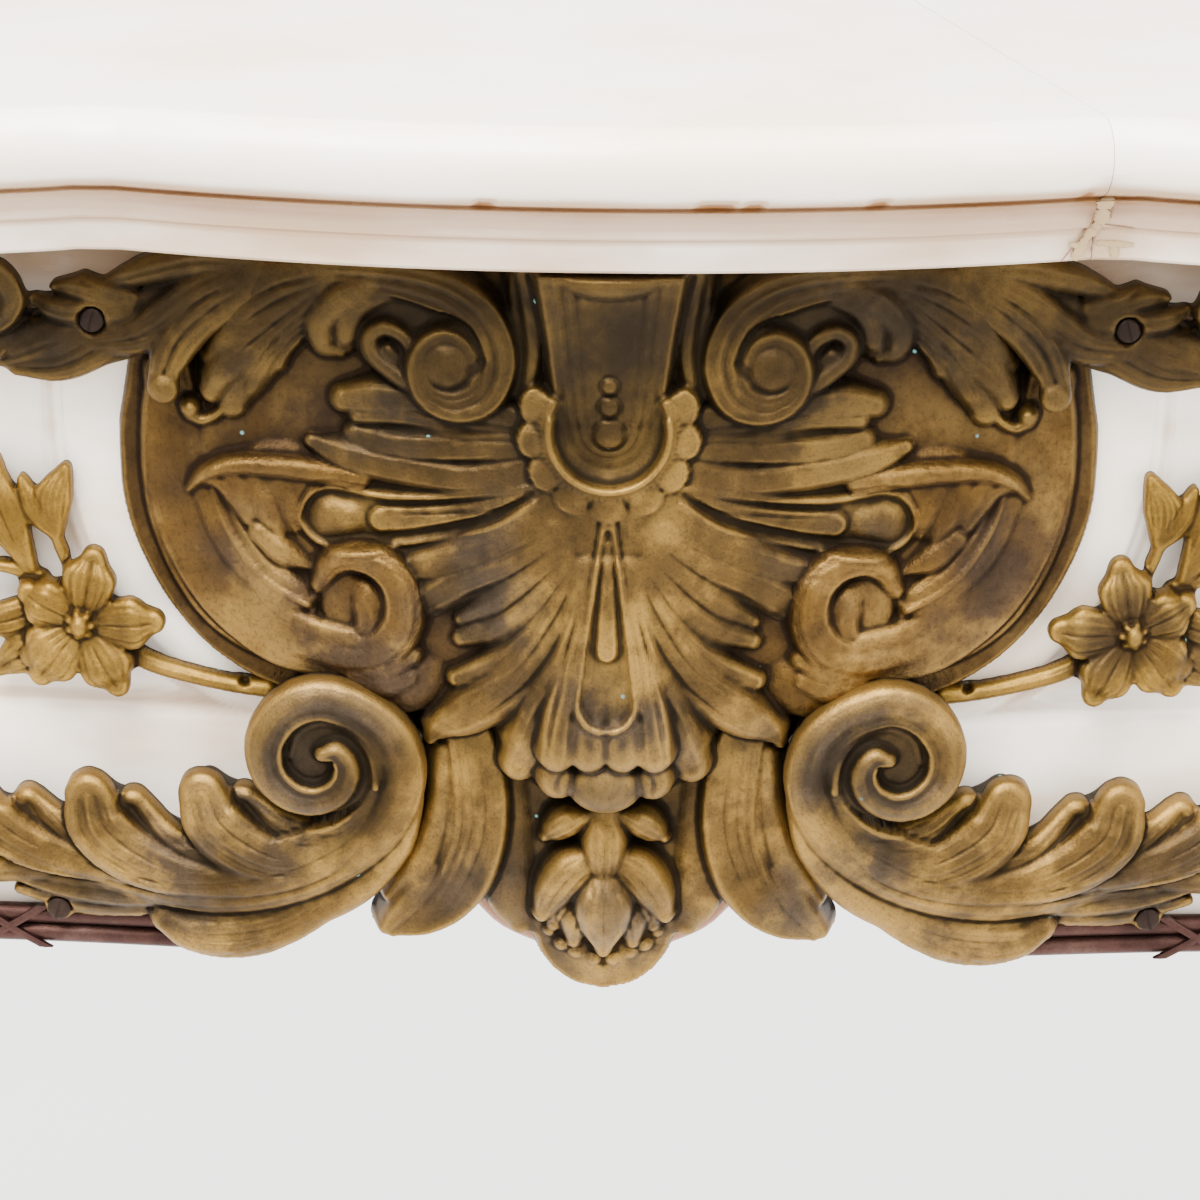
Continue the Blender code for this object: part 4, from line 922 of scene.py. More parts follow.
def build_scroll():
    """The lower volute and its acanthus tail, as a relief of the left-hand casting."""
    r = Relief(-334, -66, -166, -22, free=True)
    path = [(-330, -122), (-300, -112), (-272, -104), (-248, -102), (-223, -107), (-193, -114),
            (-164, -116.5), (-136, -111.5), (-111, -101), (-92, -86), (-82.5, -68), (-84, -50),
            (-95.5, -37.5), (-112, -32), (-126, -36.5), (-135, -49), (-134, -63), (-125, -72), (-114, -73.5),
            (-105, -68), (-102, -59), (-106, -52), (-112, -53)]
    widths = [3, 6, 9, 11, 13.5, 15.5, 16.5, 16.5, 15, 13, 11.5, 10, 9, 8.8, 8.6, 8.4, 8, 7.4, 6.6, 6, 5.4,
              4.4, 3]
    tops = [9, 12, 15, 19, 24, 29, 33, 36, 37, 38, 39, 40, 41, 42, 43, 44, 45, 46, 46, 46, 46, 46, 46]
    r.stroke([(-88, -62), (-98, -46), (-112, -42), (-123, -52)], [9, 9, 9, 9], [30, 30, 30, 30], 2)
    r.dome(-112, -58, 23, 24, 32, 6.5, 6.0)
    r.stroke([(-125, -56), (-121, -46), (-111, -41.5), (-100, -45), (-93, -55), (-91, -68)], [2.2] * 6,
             [39.5] * 6, 2)
    r.stroke([(-150, -134), (-124, -131), (-101, -118), (-84, -98), (-77, -78)], [7, 8, 8, 7, 5],
             [24, 27, 30, 31, 32], 5, domed, 1.6)
    r.stroke(path, widths, tops, 9,
             banded((-1, 0.0), (-0.86, 0.4), (-0.6, 0.7), (-0.3, 0.9), (-0.04, 1.0), (0.12, 0.92),
                    (0.5, 0.74), (0.74, 0.86), (0.86, 0.9), (1, 0.55)), 0.8)
    leaves = [
        ([(-106, -96), (-124, -96), (-136, -92), (-146, -83)], [8, 11, 11, 8], [33, 33, 32, 28], 2),
        ([(-104, -90), (-117, -92), (-128, -90)], [5, 6, 4], [31, 31, 29], 1),
        ([(-108, -100), (-130, -105), (-147, -99), (-158, -89), (-162, -78)], [7, 10, 12.6, 12.6, 10.5],
         [36, 37, 37.5, 38, 35], 3),
        ([(-158, -112), (-174, -107), (-184, -100), (-192, -88)], [8, 11, 11, 8], [31, 31, 29.5, 25.5], 2),
        ([(-156, -117), (-178, -113), (-195, -105), (-206, -94), (-209, -82)], [7, 10, 12.6, 12.6, 10.5],
         [34, 35, 35, 35.5, 32], 3),
        ([(-202, -112), (-216, -107), (-228, -99), (-236, -90)], [7, 10, 10, 7], [26, 26, 24, 20.5], 2),
        ([(-206, -115), (-228, -110), (-243, -103), (-252, -94), (-255, -86)], [7, 9, 11, 10.6, 7],
         [27, 28, 28, 28, 24], 3),
        ([(-256, -108), (-278, -104), (-296, -95)], [5, 6.4, 3], [18, 18, 14], 1),
        ([(-108, -120), (-132, -136), (-152, -142), (-169, -142), (-180, -138)], [9, 11, 12, 10, 7],
         [28, 27, 27, 27, 24], 2),
        ([(-126, -136), (-144, -146), (-157, -153)], [8, 8, 3.4], [24, 24, 19], 1),
        ([(-176, -124), (-200, -127), (-224, -126), (-247, -123)], [7, 8, 7, 3], [26, 23, 20, 16], 2),
        ([(-192, -134), (-216, -135), (-243, -132)], [6, 7, 3], [20, 17, 13], 1),
        ([(-232, -120), (-256, -124), (-282, -132)], [6, 6.4, 3], [19, 16, 12], 1),
        ([(-262, -114), (-286, -120), (-310, -130)], [6, 6, 3], [15, 13, 10], 1),
    ]
    leaf_set(r, leaves, 4.4, 0.3, 1.2, [-0.55, -0.3, -0.05, 0.2, 0.45], 0.8)
    r.carve([(-300, -118), (-250, -112), (-200, -121), (-150, -122), (-112, -110), (-90, -84)], 1.1, 0.9)
    r.carve([(-250, -104), (-200, -114), (-160, -116), (-128, -108), (-100, -90), (-88, -66), (-92, -50)],
            1.0, 0.7)
    r.emboss([(-160, -136), (-170, -135), (-180, -133)], [3, 4, 3], [-1, -2.4, -1])
    screw_seat(r, "lower")
    hand_worked(r, HAND_WORK)
    settle(r)
    x, z = r.grid()
    r.broad -= 5.0 * np.exp(-(((x + 108) / 34) ** 2) - ((z + 66) / 34) ** 2)
    return r


def screw_seat(r, level):
    """A flat-bottomed recess where a screw holds the casting."""
    px, pz, height = SCREWS[level]
    x, z = r.grid()
    away = np.hypot(x - px, z - pz)
    seat = height - SEAT_DEPTH
    rim = seat + 1.0 - 1.5 * ease(away, SEAT_RADIUS, RECESS_RADIUS)
    r.lay(EVERYWHERE, np.where(away < RECESS_RADIUS, rim, NOTHING), 0.6, None)
    r.covered |= away < RECESS_RADIUS - 0.4
    r.height = np.where(away < SEAT_RADIUS, seat, r.height)


def build_upper_leaf():
    """The acanthus sprig that crosses the cartouche's rim."""
    r = Relief(-326, -128, 66, 150, free=True)
    r.stroke([(-164, 122), (-185, 112), (-206, 106), (-226, 104), (-246, 106)], [9, 12, 12, 11, 8],
             [25, 25, 24, 22, 20], 5, domed, 2.0)
    r.stroke([(-240, 104), (-256, 110), (-259, 124), (-249, 134), (-236, 132), (-231, 122), (-238, 114),
              (-246, 118)],
             [7, 7.6, 7.6, 7, 6.6, 6, 5, 3.4], [24, 27, 29, 30, 30, 30, 30, 30], 7,
             banded((-1, 0.0), (-0.6, 0.7), (-0.1, 1.0), (0.5, 0.8), (0.8, 0.86), (1, 0.6)), 0.6)
    r.stroke([(-138, 134), (-158, 127), (-178, 119)], [11, 12, 9], [27, 26, 24.5], 3, domed, 1.0)
    leaves = [
        ([(-238, 108), (-262, 112), (-288, 106), (-312, 94)], [9, 9, 8, 3], [22, 21, 18, 12], 2),
        ([(-250, 100), (-272, 100), (-292, 92)], [6, 6, 3], [20, 18, 14], 1),
        ([(-186, 112), (-201, 102), (-215, 95), (-232, 93)], [8, 8, 7, 4], [26, 25, 22, 18], 2),
        ([(-210, 108), (-224, 102), (-238, 96)], [6, 6.4, 3.4], [24, 23, 19], 1),
        ([(-134, 141), (-156, 141), (-173, 137), (-185, 133), (-193, 130)], [6, 7, 6.6, 5, 2.8],
         [30, 30, 29, 27, 23], 1),
        ([(-134, 137), (-154, 128), (-170, 117), (-184, 109), (-201, 106)], [9, 10, 9, 7, 4],
         [30, 31, 30, 29, 25], 2),
        ([(-134, 135), (-152, 123), (-164, 112), (-170, 101), (-174, 90)], [9, 9.4, 8.4, 7.4, 5.4],
         [31, 32, 32, 32, 29], 2),
        ([(-148, 123), (-158, 112), (-163, 105), (-165, 99)], [5, 5, 4.4, 2.6], [31, 31, 30, 26], 1),
        ([(-186, 119), (-204, 118), (-215, 119), (-223, 122)], [5, 5.6, 5, 2.6], [26, 27, 26, 22], 1),
        ([(-190, 123), (-205, 127), (-215, 127)], [4.6, 5, 2.6], [26, 26, 22], 1),
        ([(-184, 124), (-197, 127), (-204, 131)], [4.6, 4.6, 2.6], [26, 26, 22], 1),
    ]
    leaf_set(r, leaves, 4, 0.2, 1.0, [-0.5, 0.0, 0.5], 0.9)
    r.carve([(-140, 134), (-158, 125), (-172, 113), (-188, 107)], 1.0, 1.0)
    r.carve([(-140, 132), (-154, 120), (-166, 108), (-171, 96)], 1.0, 0.8)
    r.dome(-172, 90, 6.4, 6.4, 28.5, 4)
    screw_seat(r, "upper")
    hand_worked(r, HAND_WORK)
    r.height[r.z > FRIEZE_TOP - SEAT_GAP, :] = NOTHING
    settle(r)
    return r


def build_spray():
    """The flower, its leaves and the stem that runs to the cartouche."""
    r = Relief(-322, -128, -52, 62, SPRAY_CELL, True)
    r.stroke([(-196, -24), (-184, -31), (-166, -36), (-150, -39), (-137, -40)], [4.6, 4.4, 4, 4, 4.4],
             [10, 11, 10.5, 10, 10], 4, domed)
    r.carve([(-196, -22), (-184, -29), (-166, -34), (-140, -38)], 0.9, 0.7)
    for path, widths, tops in (
        ([(-214, 4), (-220, 18), (-222, 30)], [3, 2.8, 2.6], [10, 10, 10]),
        ([(-218, 0), (-232, 5), (-246, 8), (-262, 6)], [3.6, 3.4, 3, 2.8], [10, 9.5, 9, 9]),
        ([(-262, 6), (-280, 0), (-296, -12)], [2.8, 2.6, 2.2], [9, 9, 8]),
    ):
        r.stroke(path, widths, tops, 3, domed)
    leaves = [
        ([(-221, 24), (-221, 38), (-216, 50)], [4, 8, 3], [10, 14, 10], 1),
        ([(-221, 22), (-229, 33), (-234, 45)], [3, 6, 2.4], [10, 12, 9], 1),
        ([(-232, 8), (-240, 26), (-245, 42), (-244, 53)], [3.4, 8.4, 7.4, 2.6], [10, 13, 12, 9], 2),
        ([(-240, 18), (-252, 30), (-258, 40)], [3.4, 6.4, 2.4], [10, 11, 8], 1),
        ([(-262, 8), (-272, 22), (-284, 36)], [3, 7, 2.4], [9, 11, 8], 1),
        ([(-268, 4), (-284, -6), (-298, -22)], [3, 7, 2.4], [9, 11, 8], 1),
        ([(-288, -4), (-300, 4), (-314, 8)], [2.8, 5.4, 2.4], [9, 10, 7], 1),
        ([(-220, -20), (-236, -28), (-248, -36)], [6, 9, 4], [10, 14, 10], 2),
        ([(-226, -8), (-242, -14), (-256, -16)], [6, 8, 4], [10, 13, 10], 2),
    ]
    for points, wide, high, folds in leaves:
        r.stroke(points, wide, high, 3.4, fluted(folds, 0.2), 0.5)
        veined(r, points, wide)
    x, z = FLOWER
    petals = ((150, 26, 10), (215, 27, 10), (-128, 30, 11), (-62, 31, 11), (4, 31, 11), (78, 30, 11))
    for turn, reach, wide in petals:
        angle = math.radians(turn)
        run, rise = reach * math.cos(angle), reach * math.sin(angle)
        points = [(x + s * run, z + s * rise) for s in (0.1, 0.42, 0.72, 0.94)]
        widths = [3.5, 0.86 * wide, wide, 0.5 * wide]
        r.stroke(points, widths, [16, 19, 20.5, 17], 3.4, fluted(2, 0.16), 0.5)
        veined(r, points, widths)
    r.dome(x, z + 1, 4.2, 5.4, 18, 6, 2.0, 0.4)
    for k in range(7):
        turn = 0.9 * k
        r.dome(x + 4.6 * math.cos(turn), z + 1 + 4.6 * math.sin(turn), 1.7, 1.7, 18.5, 2.4, 2.0, 0.3)
    gx, gz = r.grid()
    for px, pz in ((-241, 1.5), (-146, -36.5)):
        r.height = np.where(np.hypot(gx - px, gz - pz) < 1.9, np.minimum(r.height, 4.5), r.height)
    hand_worked(r, SPRAY_HAND_WORK)
    settle(r)
    return r


def veined(r, points, widths):
    """Cuts a petal's middle vein and the finer ones beside it."""
    r.striped(points, widths, [0.0], 0.8, 1.1)
    r.striped(points, widths, [-0.66, -0.33, 0.33, 0.66], 0.6, 0.8)


# Materials


# Numbers of the sockets of a colour mix node
MIX_SHARE, MIX_FIRST, MIX_SECOND, MIX_RESULT = 0, 6, 7, 2


class Nodes:
    """A small helper for writing node materials."""

    def __init__(self, name):
        self.material = bpy.data.materials.new(name)
        self.material.use_nodes = True
        self.tree = self.material.node_tree
        self.shader = self.tree.nodes["Principled BSDF"]
        self.position = self.add("ShaderNodeTexCoord").outputs["Object"]

    def add(self, kind, inputs=None, **settings):
        node = self.tree.nodes.new(kind)
        for key, value in settings.items():
            setattr(node, key, value)
        for key, value in (inputs or {}).items():
            socket = node.inputs[key]
            if isinstance(value, bpy.types.NodeSocket):
                self.tree.links.new(value, socket)
            else:
                socket.default_value = value
        return node

    def attribute(self, name):
        return self.add("ShaderNodeAttribute", attribute_name=name).outputs["Fac"]

    def maths(self, operation, a, b=0.0, c=0.0, clamp=False):
        inputs = {0: a, 1: b, 2: c}
        return self.add("ShaderNodeMath", inputs, operation=operation, use_clamp=clamp).outputs[0]

    def times(self, a, b):
        return self.maths("MULTIPLY", a, b)

    def varied(self, value, noise, amount):
        """A value that a noise shifts up and down."""
        return self.maths("ADD", value, self.times(self.maths("SUBTRACT", noise, 0.5), amount))

    def ramp(self, value, low, high):
        """0 to 1 as value goes from low to high."""
        inputs = {"Value": value, "From Min": low, "From Max": high}
        return self.add("ShaderNodeMapRange", inputs, interpolation_type="SMOOTHSTEP").outputs["Result"]

    def noise(self, scale, detail=4.0, vector=None, roughness=0.55):
        inputs = {"Scale": scale, "Detail": detail, "Roughness": roughness, "Vector": vector or self.position}
        return self.add("ShaderNodeTexNoise", inputs).outputs["Fac"]

    def mix(self, share, a, b):
        """Mixes two colours or colour sockets by a share."""
        first, second = (c if isinstance(c, bpy.types.NodeSocket) else (*c, 1.0) for c in (a, b))
        inputs = {MIX_SHARE: share, MIX_FIRST: first, MIX_SECOND: second}
        return self.add("ShaderNodeMix", inputs, data_type="RGBA").outputs[MIX_RESULT]

    def bump(self, height, strength, distance, below=None):
        """A bumped normal, over the normal below it."""
        inputs = {"Height": height, "Strength": strength, "Distance": distance}
        if below:
            inputs["Normal"] = below
        return self.add("ShaderNodeBump", inputs).outputs["Normal"]

    def link(self, output, name):
        self.tree.links.new(output, self.shader.inputs[name])

    def put(self, name, value):
        self.shader.inputs[name].default_value = value


def flow_vector(n, along, across):
    """Coordinates that follow each stroke of the chasing, stretched along it."""
    uv = n.add("ShaderNodeUVMap", uv_map="flow").outputs["UV"]
    return n.add("ShaderNodeMapping", {"Vector": uv, "Scale": (along, across, 1.0)}).outputs["Vector"]


# Each bronze's colours: in its hollows and painted shade, over most of it, where it is rubbed or has a
# painted highlight, and its patina
AGED = ((0.008, 0.005, 0.002), (0.085, 0.048, 0.012), (0.33, 0.195, 0.044), (0.052, 0.036, 0.022))
GRANULATED = ((0.010, 0.005, 0.002), (0.098, 0.051, 0.010), (0.26, 0.155, 0.040), (0.050, 0.031, 0.017))
GILT = ((0.014, 0.007, 0.002), (0.125, 0.068, 0.010), (0.37, 0.22, 0.040), (0.056, 0.034, 0.012))
RED = ((0.012, 0.005, 0.004), (0.062, 0.028, 0.022), (0.13, 0.075, 0.058), (0.046, 0.022, 0.019))
STEEL = ((0.006, 0.004, 0.003), (0.044, 0.026, 0.018), (0.11, 0.07, 0.05), (0.03, 0.019, 0.014))
VERDIGRIS = (0.16, 0.38, 0.36)
FINE_GRAIN = 900.0
GROUND_GRAIN = 520.0
TOOL_MARKS = 0.22
GRAIN_DEPTH = 0.42
BRONZE_BUMP = 0.0005
BRONZE_ROUGHNESS = 0.36


def bronze(name, colours, grain_scale=FINE_GRAIN, grain_depth=GRAIN_DEPTH):
    """Cast and chased bronze: painted shade in its hollows and creases, which stands also for their dark
    patina, and over its top under the shelf; rubbed bright on its edges, a painted highlight on its proud
    forms, and fine tool lines.
    """
    dark, middle, bright, patina = colours
    n = Nodes(name)
    fine = n.attribute("fine")
    broad = n.attribute("broad")
    cloud = n.noise(38.0, 5.0)
    blotch = n.noise(14.0, 3.0)
    gilding = n.noise(24.0, 6.0, roughness=0.62)
    streaks = n.noise(1.0, 3.0, flow_vector(n, 0.9, 9.0))
    grain = n.noise(grain_scale, 3.0, roughness=0.65)
    height = n.add("ShaderNodeSeparateXYZ", {"Vector": n.position}).outputs["Z"]
    crease = n.ramp(fine, -0.08, -0.75)
    layers = (
        (n.ramp(gilding, 0.48, 0.66), 0.6, bright),
        (n.ramp(gilding, 0.5, 0.34), 0.5, dark),
        # Painted shade in the hollows, standing also for the dark patina there.
        (n.ramp(n.varied(broad, cloud, 3.0), 1.6, -3.4), 0.6, dark),
        (n.ramp(n.varied(fine, cloud, 1.6), 0.2, 1.1), 0.4, bright),
        # Painted highlight on forms that stand proud, standing also for rubbing there.
        (n.ramp(n.varied(broad, gilding, 5.0), 1.5, 8.0), 0.22, bright),
        # Painted shade over the top, under the shelf.
        (n.ramp(n.varied(height, blotch, 0.1), -0.17, -0.055), 0.76, dark),
        (n.ramp(grain, 0.52, 0.3), 0.34, dark),
        (n.ramp(streaks, 0.48, 0.3), 0.16, dark),
        # Painted shade in creases and chased lines, standing also for the dark patina there.
        (crease, 0.85, dark),
    )
    colour = n.mix(n.ramp(blotch, 0.42, 0.66), middle, patina)
    for share, amount, tone in layers:
        colour = n.mix(n.times(share, amount), colour, tone)
    specks = n.add("ShaderNodeTexVoronoi", {"Vector": n.position, "Scale": 62.0}).outputs["Distance"]
    deep = n.ramp(n.maths("ADD", broad, fine), -0.6, -2.4)
    colour = n.mix(n.times(n.ramp(specks, 0.075, 0.03), deep), colour, VERDIGRIS)
    n.link(colour, "Base Color")
    rough = n.maths("MULTIPLY_ADD", cloud, 0.22, BRONZE_ROUGHNESS)
    n.link(n.maths("ADD", n.times(crease, 0.25), rough, clamp=True), "Roughness")
    n.put("Metallic", 0.9)
    marks = n.bump(streaks, TOOL_MARKS, BRONZE_BUMP)
    n.link(n.bump(grain, grain_depth, BRONZE_BUMP, marks), "Normal")
    return n.material


ONYX_PALE = (0.93, 0.86, 0.77)
ONYX_CREAM = (0.86, 0.72, 0.57)
ONYX_VEIN = (0.80, 0.70, 0.58)
# The tan and brown serve both the onyx's staining and painted shade under the shelf.
STAIN_AND_SHADE_TAN = (0.35, 0.21, 0.10)
STAIN_AND_SHADE_BROWN = (0.21, 0.10, 0.04)
STAIN_ORANGE = (0.21, 0.070, 0.010)


def onyx(name):
    """White onyx: creamy, softly clouded, with tan and orange staining and with tan and brown painted shade,
    where the stain_and_shade value asks for it.
    """
    n = Nodes(name)
    stretched = n.add("ShaderNodeMapping", {"Vector": n.position, "Scale": (1.0, 1.0, 3.2)}).outputs["Vector"]
    cloud = n.noise(9.0, 5.0, stretched, 0.5)
    veins = n.noise(30.0, 6.0, stretched, 0.62)
    tint = n.varied(n.attribute("stain_and_shade"), cloud, 0.9)
    colour = n.mix(n.ramp(cloud, 0.35, 0.72), ONYX_PALE, ONYX_CREAM)
    colour = n.mix(n.times(n.ramp(veins, 0.55, 0.7), 0.25), colour, ONYX_VEIN)
    colour = n.mix(n.times(n.ramp(tint, 0.15, 0.9), 0.85), colour, STAIN_AND_SHADE_TAN)
    colour = n.mix(n.ramp(tint, 0.95, 1.7), colour, STAIN_AND_SHADE_BROWN)
    colour = n.mix(n.ramp(tint, 1.8, 2.3), colour, STAIN_ORANGE)
    n.link(colour, "Base Color")
    n.link(n.maths("MULTIPLY_ADD", veins, 0.12, 0.20), "Roughness")
    n.put("Subsurface Weight", 0.12)
    n.put("Subsurface Radius", (0.012, 0.007, 0.004))
    n.put("Subsurface Scale", 1.0)
    n.link(n.bump(veins, 0.05, 0.0008), "Normal")
    return n.material


def mottled(name, colour, second, roughness, scale, detail):
    """A dull material that drifts between two colours."""
    n = Nodes(name)
    n.link(n.mix(n.noise(scale, detail), colour, second), "Base Color")
    n.put("Roughness", roughness)
    return n.material


def plain(name, colour, roughness):
    """A dull material in very nearly one colour."""
    return mottled(name, colour, [c * 0.97 for c in colour], roughness, 3.0, 2.0)


def dress(obj, material, node):
    """Gives a piece its material and puts it in the place of a solid."""
    obj.data.materials.append(material)
    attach(obj, "root")
    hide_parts(node)


# Stone


def sheet_object(name, grid, stain_and_shade=None):
    """A closed body from rings of points, station by station, with a stain value for each point."""
    if stain_and_shade is None:
        stain_and_shade = np.zeros(grid.shape[:2])
    stations, around = grid.shape[:2]
    vertices = grid.reshape(-1, 3)
    i, j = np.meshgrid(np.arange(stations - 1), np.arange(around), indexing="ij")
    k = (j + 1) % around
    here, beyond = i * around, (i + 1) * around
    quads = np.stack([here + j, here + k, beyond + k, beyond + j], axis=-1).reshape(-1, 4)
    first = np.arange(around)[::-1]
    last = (stations - 1) * around + np.arange(around)
    loops = np.concatenate([quads.ravel(), first, last])
    counts = np.concatenate([np.full(len(quads), 4), [around, around]])
    obj = fill_mesh(name, vertices, loops, counts, {"stain_and_shade": stain_and_shade.ravel()})
    obj.data.set_sharp_from_angle(angle=STONE_SMOOTH_ANGLE)
    return obj


def shelf_front(x):
    """How far the shelf's nose stands forward of the frieze's flat ends at x, in metres."""
    side = np.abs(x)
    middle = SHELF_OVERHANG - SHELF_BOW * (side / CUSP_X) ** 2
    past = np.maximum(0.0, side - CUSP_X - CUSP_FLAT)
    run = HALF_LENGTH - CUSP_X - CUSP_FLAT
    ends = SHELF_OVERHANG - SHELF_BOW + END_BOW * np.sin(math.pi * np.minimum(1.0, past / run)) ** 0.8
    return np.where(side < CUSP_X, middle, ends)


def shelf_profile():
    """(inset from the nose, height over the underside) up the shelf's front, in metres."""
    points = [(FASCIA_INSET + 0.004, 0.0), (FASCIA_INSET + 0.0012, 0.0004), (FASCIA_INSET, FASCIA_ROUND)]
    points += [(FASCIA_INSET, FASCIA_ROUND + (FASCIA_HEIGHT - FASCIA_ROUND) * k / 4) for k in range(1, 5)]
    cove_start = FASCIA_INSET - 0.0014
    points += [(FASCIA_INSET - 0.0012, FASCIA_HEIGHT + 0.0002), (cove_start, FASCIA_HEIGHT + COVE_EDGE)]
    cove_height = UNDER_MOULD_HEIGHT - FASCIA_HEIGHT - 2 * COVE_EDGE
    for k in range(1, 9):
        turn = math.pi / 2 * k / 8
        inset = cove_start - (cove_start - COVE_INSET) * (1 - math.cos(turn))
        points.append((inset, FASCIA_HEIGHT + COVE_EDGE + cove_height * math.sin(turn)))
    points.append((COVE_INSET + 0.0022, UNDER_MOULD_HEIGHT - 0.0004))
    nose = SLAB_THICK / 2
    for k in range(25):
        turn = math.radians(-84 + 174 * k / 24)
        points.append((nose * (1 - math.cos(turn)), UNDER_MOULD_HEIGHT + nose * (1 + math.sin(turn))))
    return points


def shelf_stain_and_shade(height, ring_x, chipped):
    """Staining and painted shade up the shelf's front: tan moulding that darkens up under the nose as painted
    shade, a brown line under the nose, and more at the joint.
    """
    # The moulding's tan grows darker up the cove towards the nose: painted shade where the nose overhangs it.
    low = 0.58 + 0.72 * ease(height, FASCIA_HEIGHT, UNDER_MOULD_HEIGHT - 0.005)
    groove = 0.12 * np.exp(-((height - UNDER_MOULD_HEIGHT) / 0.0022) ** 2)
    groove += 0.4 * np.exp(-((height - FASCIA_HEIGHT) / 0.0012) ** 2)
    above = 1.0 * np.exp(-(((height - UNDER_MOULD_HEIGHT) / 0.0055) ** 2))
    stain_and_shade = np.where(height < UNDER_MOULD_HEIGHT + 0.0015, low + groove, above) + 0.9 * chipped
    near_joint = np.exp(-(((ring_x - CUSP_X) / 0.009) ** 2))
    return stain_and_shade + 0.35 * near_joint * (height < UNDER_MOULD_HEIGHT + 0.012)


def shelf_piece(name, stations, back):
    """One stone of the shelf between its end stations, with worn nicks along its edges."""
    profile = np.array(shelf_profile())
    height = profile[:, 1]
    edge = np.exp(-((height - UNDER_MOULD_HEIGHT - 0.002) / 0.0022) ** 2)
    top = UNDERSIDE_Z + SLAB_THICK + UNDER_MOULD_HEIGHT
    rings = []
    stains_and_shade = []
    for x in stations:
        front = SHELF_BACK_TO_FRIEZE + float(shelf_front(x))
        nick = CHIP_DEPTH * chips(x)
        inset = profile[:, 0] + nick * edge
        aside = back(x) - x
        ring_x = x + aside * inset / front
        ring = np.stack([ring_x, inset - front, UNDERSIDE_Z + height], axis=1)
        half_way = (x + aside * 0.35, -front * 0.65)
        flat = [(*half_way, top), (back(x), 0, top), (back(x), 0, UNDERSIDE_Z), (*half_way, UNDERSIDE_Z)]
        rings.append(np.concatenate([ring, flat]))
        stain_and_shade = shelf_stain_and_shade(height, ring_x, edge * (nick > 0.0004))
        stains_and_shade.append(np.concatenate([stain_and_shade, [0.0, 0.0, 0.2, 0.3]]))
    return sheet_object(name, np.array(rings), np.array(stains_and_shade))


CHIP_DEPTH = 0.0016
CHIPS = ((0.040, 0.009), (0.052, 0.005), (-0.046, 0.004), (0.099, 0.004), (0.176, 0.004))


def chips(x):
    """Share of the full chip depth at x along the slab's lower edge."""
    found = 0.0
    for middle, half in CHIPS:
        found = max(found, 1 - ((x - middle) / half) ** 2)
    return max(0.0, found) * (0.7 + 0.3 * math.sin(x * 2100))


def stations(start, end, step):
    return list(np.linspace(start, end, max(2, round(abs(end - start) / step) + 1)))


# The joint's filler and its cracks, in millimetres from the cusp and the underside, with half widths
FILLER_COLOUR = (0.42, 0.30, 0.15)
FILLER_SHADE = (0.30, 0.20, 0.10)
CRACK_COLOUR = (0.20, 0.11, 0.06)
CRACK_WIDTH = 0.32
JOINT_LINE = (((0.0, 26.0), 3.4), ((0.5, 20.5), 3.0), ((-1.5, 15.0), 2.2), ((-6.0, 9.5), 2.0),
              ((-10.0, 1.2), 3.0))
FILLER_PATCHES = (((-1.5, 7.2), (12.5, 6.4), 1.2), ((4.8, 6.8), (5.8, 1.0), 1.8),
                  ((-12.0, 7.4), (-8.0, 6.2), 1.0))
CRACKS = (
    ((-3.5, 19.0), (-5.0, 13.5)), ((-5.0, 13.5), (-9.5, 8.0)), ((-9.5, 8.0), (-15.0, 1.0)),
    ((3.6, 25.0), (3.0, 17.0)), ((1.0, 14.5), (13.0, 13.0)), ((-2.0, 11.0), (-4.0, 4.0)),
)


def filler_lump(start, end, thick):
    """A smear of joint filler from start to end on the shelf's moulding, as a low rounded body."""
    along, around = 9, 10
    grid = np.zeros((along, around, 3))
    profile = np.array(shelf_profile())
    run = (end[0] - start[0], end[1] - start[1])
    long = math.hypot(*run)
    for i in range(along):
        share = i / (along - 1)
        x = CUSP_X + (start[0] + run[0] * share) / 1000
        height = (start[1] + run[1] * share) / 1000
        swell = thick * (0.35 + 0.65 * math.sin(math.pi * (0.08 + 0.84 * share))) / 1000
        inset = float(np.interp(height, profile[:, 1], profile[:, 0]))
        front = SHELF_BACK_TO_FRIEZE + float(shelf_front(x))
        for j in range(around):
            turn = 2 * math.pi * j / around
            wobble = 1 + 0.25 * math.sin(3.1 * j + 1.7 * i)
            aside = swell * math.cos(turn) * wobble
            out = 0.0003 + 0.30 * swell * math.sin(turn)
            z = UNDERSIDE_Z + height + aside * run[0] / long
            grid[i, j] = (x - aside * run[1] / long, inset - front - out, z)
    return grid


def build_filler():
    """The cream filler in the shelf's joint, which has cracked and spread over the moulding."""
    filler = mottled("joint_filler", FILLER_COLOUR, FILLER_SHADE, 0.7, 160.0, 4.0)
    crack = plain("joint_crack", CRACK_COLOUR, 0.8)
    smears = [(start, end, wide) for (start, wide), (end, _) in zip(JOINT_LINE, JOINT_LINE[1:])]
    smears += FILLER_PATCHES
    lines = [(start, end, CRACK_WIDTH) for start, end in CRACKS]
    for name, material, spots in (("filler", filler, smears), ("crack", crack, lines)):
        for number, (start, end, wide) in enumerate(spots):
            lump = sheet_object(f"{name}_{number}", filler_lump(start, end, wide))
            lump.data.materials.append(material)
            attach(lump, "root")


